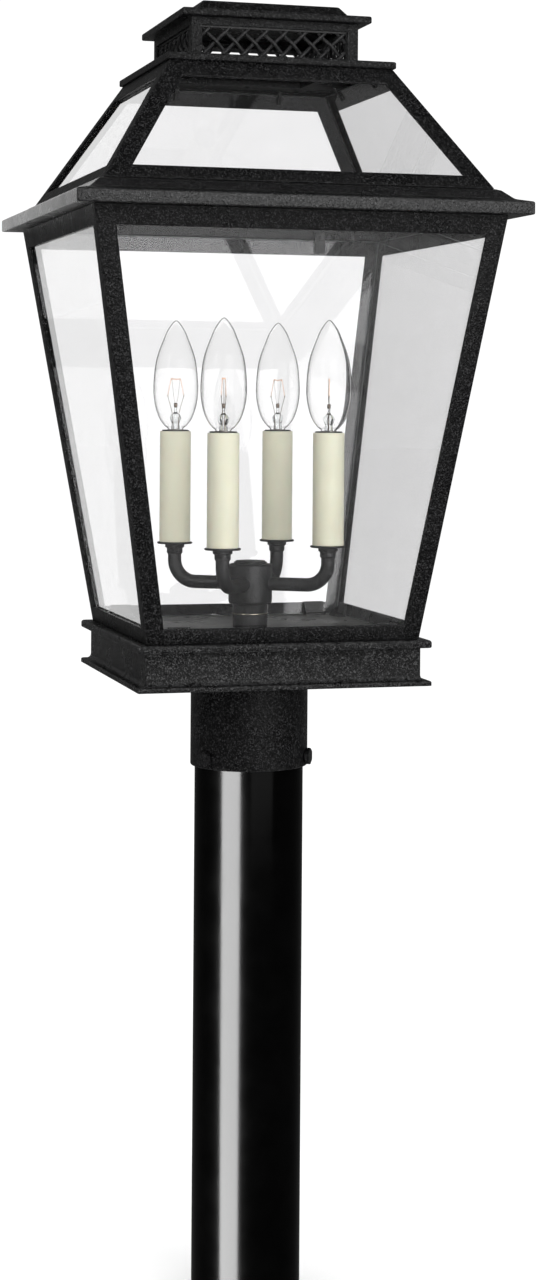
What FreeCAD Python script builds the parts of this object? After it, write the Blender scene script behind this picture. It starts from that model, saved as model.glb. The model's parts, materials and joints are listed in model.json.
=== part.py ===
import FreeCAD, Part
import math
import os
import Sketcher

# Four-light lantern on a round post.
# The post stands on its lower end at the origin, +Z up, front of the lantern towards -Y.
# Lantern heights are counted from the bottom edge of its base; base_level lifts them onto the post.

DOC = FreeCAD.newDocument("PostLantern")
SHEET = DOC.addObject("Spreadsheet::Sheet", "Dims")
NODES = []

DIMENSIONS = {
    # post and fitter
    "post_radius": 38.1,
    "post_wall": 3.0,
    "post_top": 460.0,
    "base_level": 440.0,
    "fitter_bore": 38.4,
    "fitter_radius": 41.2,
    "fitter_drop": 63.5,
    "screw_rise": 7.1,
    "screw_radius": 3.0,
    "screw_flats": 10.0,
    "screw_head": 3.2,
    "screw_gap": 0.4,
    "running_gap": 0.05,
    # base
    "base_height": 31.0,
    "base_half": 95.2,
    "band_half": 101.3,
    "lower_band": 3.4,
    "cove_radius": 3.6,
    "upper_band": 5.4,
    "base_wall": 3.0,
    "floor_thick": 2.0,
    "base_screw_reach": 70.0,
    "base_screw_radius": 2.0,
    "base_screw_head": 4.0,
    "base_screw_head_thick": 2.4,
    "drilled_ease": 0.15,
    "plate_gap": 0.4,
    # glazed body
    "body_foot_half": 94.2,
    "body_top_half": 139.9,
    "body_top": 316.8,
    "body_leg": 12.75,
    "body_wall": 2.2,
    "bar_bevel": 0.8,
    "body_top_rail": 303.7,
    "body_bottom_rail": 41.5,
    "glass_thick": 2.5,
    "glass_gap": 0.2,
    "pane_foot": 33.2,
    "pane_top": 315.6,
    "clip_reach": 72.0,
    "clip_width": 15.0,
    "clip_top": 42.5,
    "clip_thick": 1.6,
    "clip_foot": 8.0,
    "clip_gap": 0.1,
    "knob_reach": 88.0,
    "knob_level": 318.2,
    "knob_radius": 3.8,
    "knob_thick": 4.5,
    "knob_shank": 1.2,
    "knob_clip_foot": 306.0,
    "knob_clip_width": 8.0,
    # eave
    "eave_half": 153.6,
    "eave_top": 334.6,
    "fascia_top": 325.4,
    "eave_inner": 137.7,
    # roof
    "roof_foot": 334.8,
    "roof_foot_half": 132.6,
    "roof_top": 419.2,
    "roof_top_half": 77.9,
    "roof_leg": 14.5,
    "roof_wall": 2.62,
    "roof_bottom_rail": 343.5,
    "roof_top_rail": 407.5,
    "roof_glass": 2.98,
    "roof_pane_foot": 336.5,
    "roof_pane_top": 417.2,
    "roof_clip_reach": 39.0,
    "roof_clip_width": 3.0,
    "roof_clip_drop": 7.0,
    # vent
    "vent_plate": 4.9,
    "lower_plate_half": 80.0,
    "lower_plate_bore": 48.0,
    "vent_half": 59.0,
    "vent_wall": 2.0,
    "vent_box_top": 451.6,
    "window_half": 51.2,
    "window_foot": 425.8,
    "window_top": 446.2,
    "upper_plate_half": 66.5,
    "cap_foot_half": 54.8,
    "cap_top_half": 48.2,
    "cap_top": 464.5,
    "wire_pitch": 13.6,
    "wire_width": 2.2,
    "mesh_rim": 1.2,
    # lamp cluster
    "lamp_turn": -34.0,
    "lamp_reach": 57.2,
    "hub_radius": 15.35,
    "hub_foot": 49.7,
    "hub_top": 77.6,
    "hub_cavity": 9.0,
    "hub_cap_radius": 11.6,
    "hub_cap_thick": 2.2,
    "neck_radius": 12.2,
    "ring_foot": 42.3,
    "ring_top": 43.2,
    "ring_overhang": 0.3,
    "nipple_radius": 4.9,
    "nipple_bore": 3.4,
    "nut_radius": 7.5,
    "nut_flange": 9.0,
    "nut_flange_thick": 1.2,
    "nut_thick": 5.5,
    "arm_level": 63.8,
    "arm_radius": 4.75,
    "arm_bore": 3.2,
    "arm_bend": 15.5,
    "arm_start": 10.0,
    "arm_top": 86.0,
    "cup_foot": 83.2,
    "cup_radius": 5.6,
    "disc_foot": 89.6,
    "disc_top": 91.6,
    "disc_radius": 12.5,
    "sleeve_top": 170.3,
    "sleeve_radius": 10.95,
    "sleeve_bore": 9.95,
    "socket_rim": 1.0,
    "socket_radius": 9.5,
    "socket_foot": 138.0,
    "socket_stem": 4.4,
    "bulb_base_radius": 5.95,
    "bulb_base_foot": 152.0,
    "bulb_base_rim": 1.2,
    "bulb_tip": 248.9,
    "bulb_radius": 15.9,
    "bulb_wall": 0.6,
    "stem_radius": 1.5,
    "stem_height": 30.0,
}


def fill_sheet():
    """Write every driving dimension as one named cell."""
    for row, (alias, value) in enumerate(DIMENSIONS.items(), start=1):
        SHEET.set(f"A{row}", alias)
        SHEET.set(f"B{row}", str(value))
        SHEET.setAlias(f"B{row}", alias)
    DOC.recompute()


def dim(alias):
    """Expression text that reads one cell of the sheet."""
    return f"Dims.{alias}"


def size(alias):
    """Present value of one cell of the sheet."""
    return float(SHEET.get(alias))


def start_body(label, level="base_level"):
    """Open a body that stands at the given level."""
    body = DOC.addObject("PartDesign::Body", label)
    body.Label = label
    body.AllowCompound = True
    if level:
        body.setExpression("Placement.Base.z", dim(level))
    return body


def finish(piece):
    """Count a finished piece as a node of its own."""
    NODES.append(piece)
    return piece


def origin_item(body, role):
    """One of the body's own origin planes or axes."""
    return next(item for item in body.Origin.OriginFeatures if item.Role == role)


def open_sketch(body, name, plane, lift):
    """Sketch on one of the body's origin planes, lifted along the plane's normal."""
    sketch = body.newObject("Sketcher::SketchObject", name)
    sketch.AttachmentSupport = [(origin_item(body, plane), "")]
    sketch.MapMode = "FlatFace"
    if lift:
        sketch.setExpression("AttachmentOffset.Base.z", lift)
    return sketch


def hold(sketch, kind, geometry, vertex, value):
    """Fix one coordinate of a vertex to an expression; zero puts it on the axis."""
    if value == "0":
        axis = -2 if kind == "DistanceX" else -1
        sketch.addConstraint(Sketcher.Constraint("PointOnObject", geometry, vertex, axis))
        return
    index = sketch.addConstraint(Sketcher.Constraint(kind, -1, 1, geometry, vertex, 10.0))
    sketch.setExpression(f"Constraints[{index}]", value)


def outline(body, name, corners, plane="XY_Plane", lift=None):
    """Closed outline of straight sides whose corners are pairs of expressions."""
    sketch = open_sketch(body, name, plane, lift)
    count = len(corners)
    turns = [2 * math.pi * i / count for i in range(count)]
    rough = [FreeCAD.Vector(60 + 40 * math.cos(a), 60 + 40 * math.sin(a), 0) for a in turns]
    for i in range(count):
        sketch.addGeometry(Part.LineSegment(rough[i], rough[(i + 1) % count]), False)
    for i in range(count):
        sketch.addConstraint(Sketcher.Constraint("Coincident", i, 2, (i + 1) % count, 1))
    for i, (across, up) in enumerate(corners):
        hold(sketch, "DistanceX", i, 1, across)
        hold(sketch, "DistanceY", i, 1, up)
    return sketch


def rough_rectangle(sketch, low, high):
    """Four joined sides with upright ends and a level far side, before its sizes are fixed."""
    places = [(-50.0, low), (50.0, low), (50.0, high), (-50.0, high)]
    points = [FreeCAD.Vector(x, y, 0) for x, y in places]
    for i in range(4):
        sketch.addGeometry(Part.LineSegment(points[i], points[(i + 1) % 4]), False)
    for i in range(4):
        sketch.addConstraint(Sketcher.Constraint("Coincident", i, 2, (i + 1) % 4, 1))
    sketch.addConstraint(Sketcher.Constraint("Vertical", 1))
    sketch.addConstraint(Sketcher.Constraint("Vertical", 3))
    sketch.addConstraint(Sketcher.Constraint("Horizontal", 2))


def centred_square(body, name, half, lift=None):
    """Square about the origin."""
    sketch = open_sketch(body, name, "XY_Plane", lift)
    rough_rectangle(sketch, -50.0, 50.0)
    sketch.addConstraint(Sketcher.Constraint("Horizontal", 0))
    sketch.addConstraint(Sketcher.Constraint("Symmetric", 0, 1, 2, 1, -1, 1))
    hold(sketch, "DistanceX", 2, 1, half)
    hold(sketch, "DistanceY", 2, 1, half)
    return sketch


def strip(body, name, half, near, far, plane="XY_Plane", lift=None):
    """Rectangle symmetric about the sketch's vertical axis, between two distances along it."""
    sketch = open_sketch(body, name, plane, lift)
    rough_rectangle(sketch, 60.0, 70.0)
    sketch.addConstraint(Sketcher.Constraint("Symmetric", 0, 1, 0, 2, -2))
    hold(sketch, "DistanceX", 0, 2, half)
    hold(sketch, "DistanceY", 0, 2, near)
    hold(sketch, "DistanceY", 2, 1, far)
    return sketch


def circles(body, name, radii, plane="XY_Plane", lift=None, across="0", up="0"):
    """Concentric circles about one centre."""
    sketch = open_sketch(body, name, plane, lift)
    for i, radius in enumerate(radii):
        sketch.addGeometry(Part.Circle(FreeCAD.Vector(5, 5, 0), FreeCAD.Vector(0, 0, 1), 5.0 + i), False)
        hold(sketch, "DistanceX", i, 3, across)
        hold(sketch, "DistanceY", i, 3, up)
        index = sketch.addConstraint(Sketcher.Constraint("Radius", i, 5.0 + i))
        sketch.setExpression(f"Constraints[{index}]", radius)
    return sketch


def pad(body, sketch, length, midplane=False):
    """Raise a sketch by a length."""
    feature = body.newObject("PartDesign::Pad", f"{sketch.Name}_pad")
    feature.Profile = sketch
    feature.setExpression("Length", length)
    feature.Midplane = midplane
    return feature


def cut(body, sketch, length, reverse=False, midplane=False):
    """Sink a sketch by a length and check that material went."""
    DOC.recompute()
    before = body.Shape.Volume
    feature = body.newObject("PartDesign::Pocket", f"{sketch.Name}_cut")
    feature.Profile = sketch
    feature.setExpression("Length", length)
    feature.Reversed = reverse
    feature.Midplane = midplane
    DOC.recompute()
    if body.Shape.Volume > before - 1.0:
        raise RuntimeError(f"{feature.Name} removes nothing")
    return feature


def loft(body, low, high, subtract=False):
    """Straight-sided loft between two sketches."""
    kind = "PartDesign::SubtractiveLoft" if subtract else "PartDesign::AdditiveLoft"
    feature = body.newObject(kind, f"{low.Name}_loft")
    feature.Profile = low
    feature.Sections = [high]
    feature.Ruled = True
    return feature


def turn(body, sketch):
    """Revolve an outline about the vertical axis."""
    feature = body.newObject("PartDesign::Revolution", f"{sketch.Name}_turned")
    feature.Profile = sketch
    feature.ReferenceAxis = (sketch, ["V_Axis"])
    feature.Angle = 360
    return feature


def polar(body, features, count):
    """Repeat features evenly about the vertical axis."""
    feature = body.newObject("PartDesign::PolarPattern", f"{body.Name}_round")
    feature.Originals = features
    feature.Axis = (origin_item(body, "Z_Axis"), [""])
    feature.Angle = 360
    feature.Occurrences = count
    body.Tip = feature
    return feature


def soften(body, radius, chosen):
    """Fillet the edges that a test picks out of the body's present shape."""
    DOC.recompute()
    base = body.Tip
    names = [f"Edge{i}" for i, edge in enumerate(base.Shape.Edges, start=1) if chosen(edge)]
    if not names:
        raise RuntimeError(f"{body.Label}: no edge to fillet")
    feature = body.newObject("PartDesign::Fillet", f"{body.Name}_soft{len(body.Group)}")
    feature.Base = (base, names)
    feature.Radius = radius
    body.Tip = feature
    return feature


def edge_middle(edge):
    """Point halfway along an edge."""
    return edge.valueAt((edge.FirstParameter + edge.LastParameter) / 2)


def longer_than(length):
    """Test that picks straight edges longer than a length."""
    return lambda edge: edge.Length > length


def at_level(level, reach):
    """Test that picks straight edges of a square at one height and half-width."""

    def chosen(edge):
        middle = edge_middle(edge)
        aside = max(abs(middle.x), abs(middle.y))
        return abs(middle.z - level) < 0.01 and abs(aside - reach) < 0.01

    return chosen


def upright(edge):
    """Test that picks the short vertical edges of the base."""
    return 1.0 < edge.Length < 26.0 and abs(edge.tangentAt(edge.FirstParameter).z) > 0.99


def body_half(level):
    """Half-width of the glazed body's outside at a height, as an expression."""
    rise = f"({level} - Dims.base_height) / (Dims.body_top - Dims.base_height)"
    return f"(Dims.body_foot_half + (Dims.body_top_half - Dims.body_foot_half) * {rise})"


def roof_half(level):
    """Half-width of the roof's outside at a height, as an expression."""
    rise = f"({level} - Dims.roof_foot) / (Dims.roof_top - Dims.roof_foot)"
    return f"(Dims.roof_foot_half + (Dims.roof_top_half - Dims.roof_foot_half) * {rise})"


def make_post():
    """Round steel tube that carries the lantern."""
    body = start_body("post", level=None)
    ring = circles(body, "post_section", [dim("post_radius"), "Dims.post_radius - Dims.post_wall"])
    pad(body, ring, dim("post_top"))
    return finish(body)


def make_fitter():
    """Sleeve welded under the base that slips over the post, with three screw holes."""
    body = start_body("post_fitter")
    body.setExpression("Placement.Base.z", "Dims.base_level - Dims.fitter_drop")
    body.setExpression("Placement.Rotation.Angle", "-30")
    ring = circles(body, "fitter_section", [dim("fitter_radius"), dim("fitter_bore")])
    pad(body, ring, "Dims.fitter_drop + Dims.base_height - Dims.base_wall")
    soften(body, 0.8, lambda edge: edge_middle(edge).z < 0.01 and edge.Length > 2 * math.pi * 40)
    hole = circles(
        body, "screw_hole", ["Dims.screw_radius + Dims.running_gap"], "YZ_Plane", up=dim("screw_rise")
    )
    pocket = cut(body, hole, "Dims.fitter_radius + 5", reverse=True)
    polar(body, [pocket], 3)
    return finish(body)


def make_set_screw(side, heading):
    """Hex-headed screw through the fitter's wall; its tip stops just short of the post."""
    body = start_body(f"set_screw_{side}")
    body.setExpression("Placement.Base.z", "Dims.base_level - Dims.fitter_drop + Dims.screw_rise")
    body.Placement.Rotation = FreeCAD.Rotation(FreeCAD.Vector(0, 0, 1), heading)
    tip = "Dims.post_radius + Dims.screw_gap"
    shank = circles(body, f"shank_{side}", [dim("screw_radius")], "YZ_Plane", tip)
    pad(body, shank, "Dims.fitter_radius - Dims.post_radius")
    head = open_sketch(body, f"head_{side}", "YZ_Plane", "Dims.fitter_radius + Dims.screw_gap")
    reach = size("screw_flats") / 2 / math.cos(math.radians(30))
    corners = [math.radians(90 + 60 * i) for i in range(6)]
    points = [FreeCAD.Vector(reach * math.cos(a), reach * math.sin(a), 0) for a in corners]
    for i in range(6):
        head.addGeometry(Part.LineSegment(points[i], points[(i + 1) % 6]), False)
    circle = head.addGeometry(Part.Circle(FreeCAD.Vector(0, 0, 0), FreeCAD.Vector(0, 0, 1), reach), True)
    head.addConstraint(Sketcher.Constraint("Coincident", circle, 3, -1, 1))
    for i in range(6):
        head.addConstraint(Sketcher.Constraint("Coincident", i, 2, (i + 1) % 6, 1))
        head.addConstraint(Sketcher.Constraint("PointOnObject", i, 1, circle))
    for i in range(5):
        head.addConstraint(Sketcher.Constraint("Equal", i, i + 1))
    head.addConstraint(Sketcher.Constraint("PointOnObject", 0, 1, -2))
    index = head.addConstraint(Sketcher.Constraint("Radius", circle, reach))
    head.setExpression(f"Constraints[{index}]", "Dims.screw_flats / 2 / cos(30)")
    pad(body, head, dim("screw_head"))
    tip = size("fitter_radius") + size("screw_gap") + size("screw_head")
    soften(body, 0.5, lambda edge: abs(edge_middle(edge).x - tip) < 0.01)
    return finish(body)


def make_base():
    """Stepped square base, open underneath, with a coved lower band."""
    body = start_body("base_casting")
    foot = centred_square(body, "foot_band", dim("band_half"))
    pad(body, foot, dim("lower_band"))
    wall = centred_square(body, "base_block", dim("base_half"))
    pad(body, wall, dim("base_height"))
    brim = centred_square(body, "brim_band", dim("band_half"), "Dims.base_height - Dims.upper_band")
    pad(body, brim, dim("upper_band"))
    soften(body, size("cove_radius"), at_level(size("lower_band"), size("base_half")))
    soften(body, 2.0, at_level(size("base_height"), size("band_half")))
    soften(body, 1.4, at_level(size("base_height") - size("upper_band"), size("band_half")))
    soften(body, 1.2, at_level(size("lower_band"), size("band_half")))
    soften(body, 0.8, upright)
    hollow = centred_square(body, "base_hollow", "Dims.base_half - Dims.base_wall")
    cut(body, hollow, "Dims.base_height - Dims.base_wall", reverse=True)
    bore_deck(body, "deck")
    return finish(body)


def bore_deck(body, name):
    """Holes for the threaded tube and for the four screws, right through a plate."""
    centre = circles(body, f"{name}_tube_hole", ["Dims.nipple_radius + Dims.drilled_ease"])
    cut(body, centre, "Dims.base_height + 10", reverse=True)
    reach = dim("base_screw_reach")
    bore = "Dims.base_screw_radius + Dims.drilled_ease"
    corner = circles(body, f"{name}_screw_hole", [bore], across=reach, up=reach)
    drilled = cut(body, corner, "Dims.base_height + 10", reverse=True)
    polar(body, [drilled], 4)


def make_floor():
    """Flat plate inside the foot of the glazed body."""
    body = start_body("floor_plate")
    half = "Dims.body_foot_half - Dims.body_wall - Dims.plate_gap"
    plate = centred_square(body, "floor_square", half, dim("base_height"))
    pad(body, plate, dim("floor_thick"))
    bore_deck(body, "floor")
    return finish(body)


def make_base_screws():
    """Four screws driven up through the base's deck into the floor plate."""
    body = start_body("base_screws")
    underside = "Dims.base_height - Dims.base_wall"
    reach = dim("base_screw_reach")
    thick = dim("base_screw_head_thick")
    head = circles(
        body, "screw_heads", [dim("base_screw_head")], lift=f"{underside} - {thick}", across=reach, up=reach
    )
    heads = pad(body, head, thick)
    shank = circles(body, "screw_shanks", [dim("base_screw_radius")], lift=underside, across=reach, up=reach)
    shanks = pad(body, shank, "Dims.base_wall + Dims.floor_thick")
    polar(body, [heads, shanks], 4)
    return finish(body)


def corner_bar(label, half, foot, top, leg, wall, heading):
    """Angle bar along one leaning corner; its two legs lie in the two faces that meet there."""
    body = start_body(label)
    body.Placement.Rotation = FreeCAD.Rotation(FreeCAD.Vector(0, 0, 1), heading)
    ends = []
    for end, level in (("foot", foot), ("top", top)):
        out = half(level)
        start = f"{out} - {leg}"
        inside = f"{out} - {wall}"
        bevel = f"{out} - Dims.bar_bevel"
        corners = [
            (f"{start} + Dims.bar_bevel / 2", out),
            (start, f"{out} - Dims.bar_bevel / 2"),
            (start, inside),
            (inside, inside),
            (inside, start),
            (f"{out} - Dims.bar_bevel / 2", start),
            (out, f"{start} + Dims.bar_bevel / 2"),
            (out, bevel),
            (bevel, out),
        ]
        ends.append(outline(body, f"{label}_{end}", corners, lift=level))
    loft(body, *ends)
    return finish(body)


def rails(label, half, foot, top, leg, wall):
    """Four flat bars between the corner bars, in the planes of the four faces."""
    body = start_body(label)
    ends = []
    for end, level in (("foot", foot), ("top", top)):
        out = half(level)
        ends.append(strip(body, f"{label}_{end}", f"{out} - {leg}", f"{out} - {wall}", out, lift=level))
    bar = loft(body, *ends)
    polar(body, [bar], 4)
    return finish(body)


def pane(label, half, foot, top, wall, thick, side_gap, heading):
    """Flat glass pane lapped behind the bars of one leaning face."""
    body = start_body(label)
    body.Placement.Rotation = FreeCAD.Rotation(FreeCAD.Vector(0, 0, 1), heading)
    ends = []
    for end, level in (("foot", foot), ("top", top)):
        out = f"{half(level)} - {wall} - Dims.glass_gap"
        wide = f"{half(level)} - {side_gap}"
        ends.append(strip(body, f"{label}_{end}", wide, f"{out} - {thick}", out, lift=level))
    loft(body, *ends)
    return finish(body)


def make_glazed_body():
    """Corner bars, rails and panes of the tapering body."""
    foot = dim("base_height")
    top = dim("body_top")
    leg = dim("body_leg")
    wall = dim("body_wall")
    for i, corner in enumerate(("back_right", "back_left", "front_left", "front_right")):
        corner_bar(f"corner_post_{corner}", body_half, foot, top, leg, wall, 90 * i)
    rails("body_top_rails", body_half, dim("body_top_rail"), top, leg, wall)
    rails("body_bottom_rails", body_half, foot, dim("body_bottom_rail"), leg, wall)
    thick = dim("glass_thick")
    wide = "Dims.body_wall - 0.4"
    narrow = f"{wide} - Dims.glass_gap - {thick}"
    for i, face in enumerate(("back", "left", "front", "right")):
        gap = wide if i % 2 == 0 else narrow
        label = f"side_glass_{face}"
        pane(label, body_half, dim("pane_foot"), dim("pane_top"), wall, thick, gap, 90 * i)


def slanted_clip(body, name, half, foot, top, inset, thick, width, reach):
    """Strip that lies on a pane's inner side, seen from its end and pulled to its width."""
    near = "(" + half(foot) + f" - {inset})"
    far = "(" + half(top) + f" - {inset})"
    corners = [(near, foot), (far, top), (f"{far} - {thick}", top), (f"{near} - {thick}", foot)]
    sketch = outline(body, name, corners, "YZ_Plane", f"{reach} - {width} / 2")
    return pad(body, sketch, width)


def mirror_and_repeat(body, features):
    """Mirror features across the middle of a face and repeat them on all four faces."""
    both = body.newObject("PartDesign::MultiTransform", f"{body.Name}_all")
    mirror = body.newObject("PartDesign::Mirrored", f"{body.Name}_mirror")
    mirror.MirrorPlane = (origin_item(body, "YZ_Plane"), [""])
    around = body.newObject("PartDesign::PolarPattern", f"{body.Name}_round")
    around.Axis = (origin_item(body, "Z_Axis"), [""])
    around.Angle = 360
    around.Occurrences = 4
    both.Originals = features
    both.Transformations = [mirror, around]
    body.Tip = both
    return both


def make_foot_clips():
    """Two angle clips at the foot of each pane: a strip up the glass and a tab on the floor."""
    inset = "(Dims.body_wall + Dims.glass_gap + Dims.glass_thick + Dims.clip_gap)"
    body = start_body("foot_glass_clips")
    level = "Dims.base_height + Dims.floor_thick"
    width = dim("clip_width")
    reach = dim("clip_reach")
    thick = dim("clip_thick")
    sides = (body_half, level, dim("clip_top"), inset, thick, width, reach)
    upright_part = slanted_clip(body, "foot_clip", *sides)
    near = "(" + body_half(level) + f" - {inset} - {thick} + Dims.clip_gap)"
    far = f"({near} - Dims.clip_foot + {thick})"
    above = f"{level} + {thick}"
    tab = [(near, level), (near, above), (far, above), (far, level)]
    sketch = outline(body, "foot_clip_tab", tab, "YZ_Plane", f"{reach} - {width} / 2")
    foot = pad(body, sketch, width)
    mirror_and_repeat(body, [upright_part, foot])
    return finish(body)


def clip_bend():
    """Distance from the axis to the outside of the upper clips where they turn upright."""
    inset = "(Dims.body_wall + Dims.glass_gap + Dims.glass_thick + Dims.clip_gap)"
    return "(" + body_half(dim("body_top")) + f" - {inset})"


def make_top_clips():
    """One bent clip near the top of each pane, and the thumb screw that holds it to the eave."""
    inset = "(Dims.body_wall + Dims.glass_gap + Dims.glass_thick + Dims.clip_gap)"
    thick = dim("clip_thick")
    across = dim("knob_reach")
    up = dim("knob_level")
    body = start_body("top_glass_clips")
    low = dim("knob_clip_foot")
    high = "Dims.knob_level + 3"
    start = "(" + body_half(low) + f" - {inset})"
    bend = clip_bend()
    corners = [
        (start, low),
        (bend, dim("body_top")),
        ("Dims.eave_inner - Dims.clip_gap", "Dims.body_top + 0.3"),
        ("Dims.eave_inner - Dims.clip_gap", high),
        (f"{bend} - {thick}", high),
        (f"{bend} - {thick}", dim("body_top")),
        (f"{start} - {thick}", low),
    ]
    width = dim("knob_clip_width")
    sketch = outline(body, "top_clip", corners, "YZ_Plane", f"{across} - {width} / 2")
    plate = pad(body, sketch, width)
    bore = "Dims.knob_shank + Dims.clip_gap"
    hole = circles(body, "top_clip_hole", [bore], "XZ_Plane", f"-({bend} + 8)", across, up)
    bored = cut(body, hole, "20", reverse=True)
    polar(body, [plate, bored], 4)
    finish(body)

    body = start_body("clip_thumb_screws")
    face = f"({bend} - {thick} - 0.5)"
    knob = circles(body, "knob", [dim("knob_radius")], "XZ_Plane", f"-{face}", across, up)
    head = pad(body, knob, dim("knob_thick"))
    shank = circles(body, "knob_shank", [dim("knob_shank")], "XZ_Plane", "-(Dims.eave_inner + 4)", across, up)
    stem = pad(body, shank, f"Dims.eave_inner + 4 - {face}")
    polar(body, [head, stem], 4)
    return finish(body)


def make_eave():
    """Fascia and sloping moulding in one mitred ring that caps the glazed body."""
    body = start_body("eave_moulding")
    path = centred_square(body, "eave_path", dim("eave_half"), dim("body_top"))
    section = [
        (dim("eave_inner"), dim("body_top")),
        (dim("eave_half"), dim("body_top")),
        (dim("eave_half"), dim("fascia_top")),
        ("Dims.eave_half - 10.3", "Dims.fascia_top + 2.2"),
        ("Dims.eave_half - 17.4", "Dims.eave_top - 1.0"),
        ("Dims.eave_half - 20.6", dim("eave_top")),
        ("Dims.eave_half - 24", dim("eave_top")),
        ("Dims.eave_half - 24", "Dims.eave_top - 2.6"),
        (dim("eave_inner"), "Dims.body_top + 7"),
    ]
    profile = outline(body, "eave_section", section, "XZ_Plane")
    sweep = body.newObject("PartDesign::AdditivePipe", "eave_sweep")
    sweep.Profile = profile
    sweep.Spine = (path, ["Edge1", "Edge2", "Edge3", "Edge4"])
    sweep.Transition = "Right corner"
    bore = "Dims.knob_shank + Dims.clip_gap"
    depth = "-(Dims.eave_inner + 5)"
    hole = circles(body, "eave_screw_hole", [bore], "XZ_Plane", depth, dim("knob_reach"), dim("knob_level"))
    bored = cut(body, hole, "10", reverse=True)
    polar(body, [bored], 4)
    return finish(body)


def make_roof():
    """Hip bars, rails, panes and clips of the pitched roof."""
    foot = dim("roof_foot")
    top = dim("roof_top")
    leg = dim("roof_leg")
    wall = dim("roof_wall")
    for i, corner in enumerate(("back_right", "back_left", "front_left", "front_right")):
        corner_bar(f"roof_hip_{corner}", roof_half, foot, top, leg, wall, 90 * i)
    rails("roof_top_rails", roof_half, dim("roof_top_rail"), top, leg, wall)
    rails("roof_bottom_rails", roof_half, foot, dim("roof_bottom_rail"), leg, wall)
    thick = dim("roof_glass")
    wide = "Dims.roof_wall - 0.5"
    narrow = f"{wide} - Dims.glass_gap - {thick}"
    for i, face in enumerate(("back", "left", "front", "right")):
        gap = wide if i % 2 == 0 else narrow
        label = f"roof_glass_{face}"
        pane(label, roof_half, dim("roof_pane_foot"), dim("roof_pane_top"), wall, thick, gap, 90 * i)
    body = start_body("roof_glass_clips")
    inset = "(Dims.roof_wall + Dims.glass_gap + Dims.roof_glass + 0.15)"
    low = "Dims.roof_pane_top - Dims.roof_clip_drop"
    sides = (roof_half, low, top, inset, dim("clip_thick"), dim("roof_clip_width"), dim("roof_clip_reach"))
    finger = slanted_clip(body, "roof_clip", *sides)
    mirror_and_repeat(body, [finger])
    finish(body)


def make_plate(label, half, foot, thick, bore=None):
    """Square plate with softened edges, bored through where air passes."""
    body = start_body(label)
    square = centred_square(body, f"{label}_square", half, foot)
    pad(body, square, thick)
    soften(body, 0.9, longer_than(0))
    if bore:
        opening = centred_square(body, f"{label}_bore", bore, foot)
        cut(body, opening, thick, reverse=True)
    return finish(body)


def make_vent():
    """Vent turret: two plates, a box with a window in each side, woven mesh and a low cap."""
    thick = dim("vent_plate")
    make_plate("vent_lower_plate", dim("lower_plate_half"), dim("roof_top"), thick, dim("lower_plate_bore"))
    body = start_body("vent_box")
    foot = "(Dims.roof_top + Dims.vent_plate)"
    block = centred_square(body, "vent_block", dim("vent_half"), foot)
    pad(body, block, f"Dims.vent_box_top - {foot}")
    hollow = centred_square(body, "vent_hollow", "Dims.vent_half - Dims.vent_wall", foot)
    cut(body, hollow, f"Dims.vent_box_top - {foot}", reverse=True)
    low = dim("window_foot")
    high = dim("window_top")
    for plane in ("XZ_Plane", "YZ_Plane"):
        window = strip(body, f"window_{plane[:2]}", dim("window_half"), low, high, plane)
        cut(body, window, "Dims.vent_half * 2 + 10", midplane=True)
    finish(body)
    make_mesh()
    make_plate("vent_upper_plate", dim("upper_plate_half"), dim("vent_box_top"), thick)
    body = start_body("vent_cap")
    seat = "Dims.vent_box_top + Dims.vent_plate"
    wide = centred_square(body, "cap_foot", dim("cap_foot_half"), seat)
    small = centred_square(body, "cap_head", dim("cap_top_half"), dim("cap_top"))
    loft(body, wide, small)
    return finish(body)


def make_mesh():
    """Four panels of crossed wires behind the vent's windows, as two layers of slanting bars."""
    width = size("wire_width")
    pitch = size("wire_pitch")
    rim = size("mesh_rim")
    half = size("window_half") + 2 * rim
    low = size("window_foot") - rim
    high = size("window_top") + rim
    outer = size("vent_half") - size("vent_wall") - 0.2
    middle = (low + high) / 2
    reach = high - low
    layer = 0.62 * width
    inward = outer - 2 * layer
    bars = []
    for depth, slope in ((0.0, 45), (0.9 * layer, -45)):
        for i in range(-5, 6):
            bar = Part.makeBox(width, layer, 3 * reach, FreeCAD.Vector(-width / 2, 0, -1.5 * reach))
            bar.rotate(FreeCAD.Vector(0, 0, 0), FreeCAD.Vector(0, 1, 0), slope)
            bar.translate(FreeCAD.Vector(i * pitch, outer - depth - layer, middle))
            bars.append(bar)
    lattice = bars[0].multiFuse(bars[1:])
    sheet = Part.makeBox(2 * half, 2 * layer, reach, FreeCAD.Vector(-half, inward, low))
    inside = Part.makeBox(
        2 * (half - rim), 2 * layer, reach - 2 * rim, FreeCAD.Vector(rim - half, inward, low + rim)
    )
    panel = lattice.common(sheet).fuse(sheet.cut(inside)).removeSplitter()
    panels = []
    for i in range(4):
        side = panel.copy()
        side.rotate(FreeCAD.Vector(0, 0, 0), FreeCAD.Vector(0, 0, 1), 90 * i)
        panels.append(side)
    mesh = DOC.addObject("Part::Feature", "vent_mesh")
    mesh.Label = "vent_mesh"
    mesh.Shape = Part.makeCompound(panels)
    mesh.Placement.Base.z = size("base_level")
    return finish(mesh)


def turned(label, corners):
    """Piece turned about the vertical axis from an outline of radius and height."""
    body = start_body(label)
    turn(body, outline(body, f"{label}_outline", corners, "XZ_Plane"))
    return body


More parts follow.
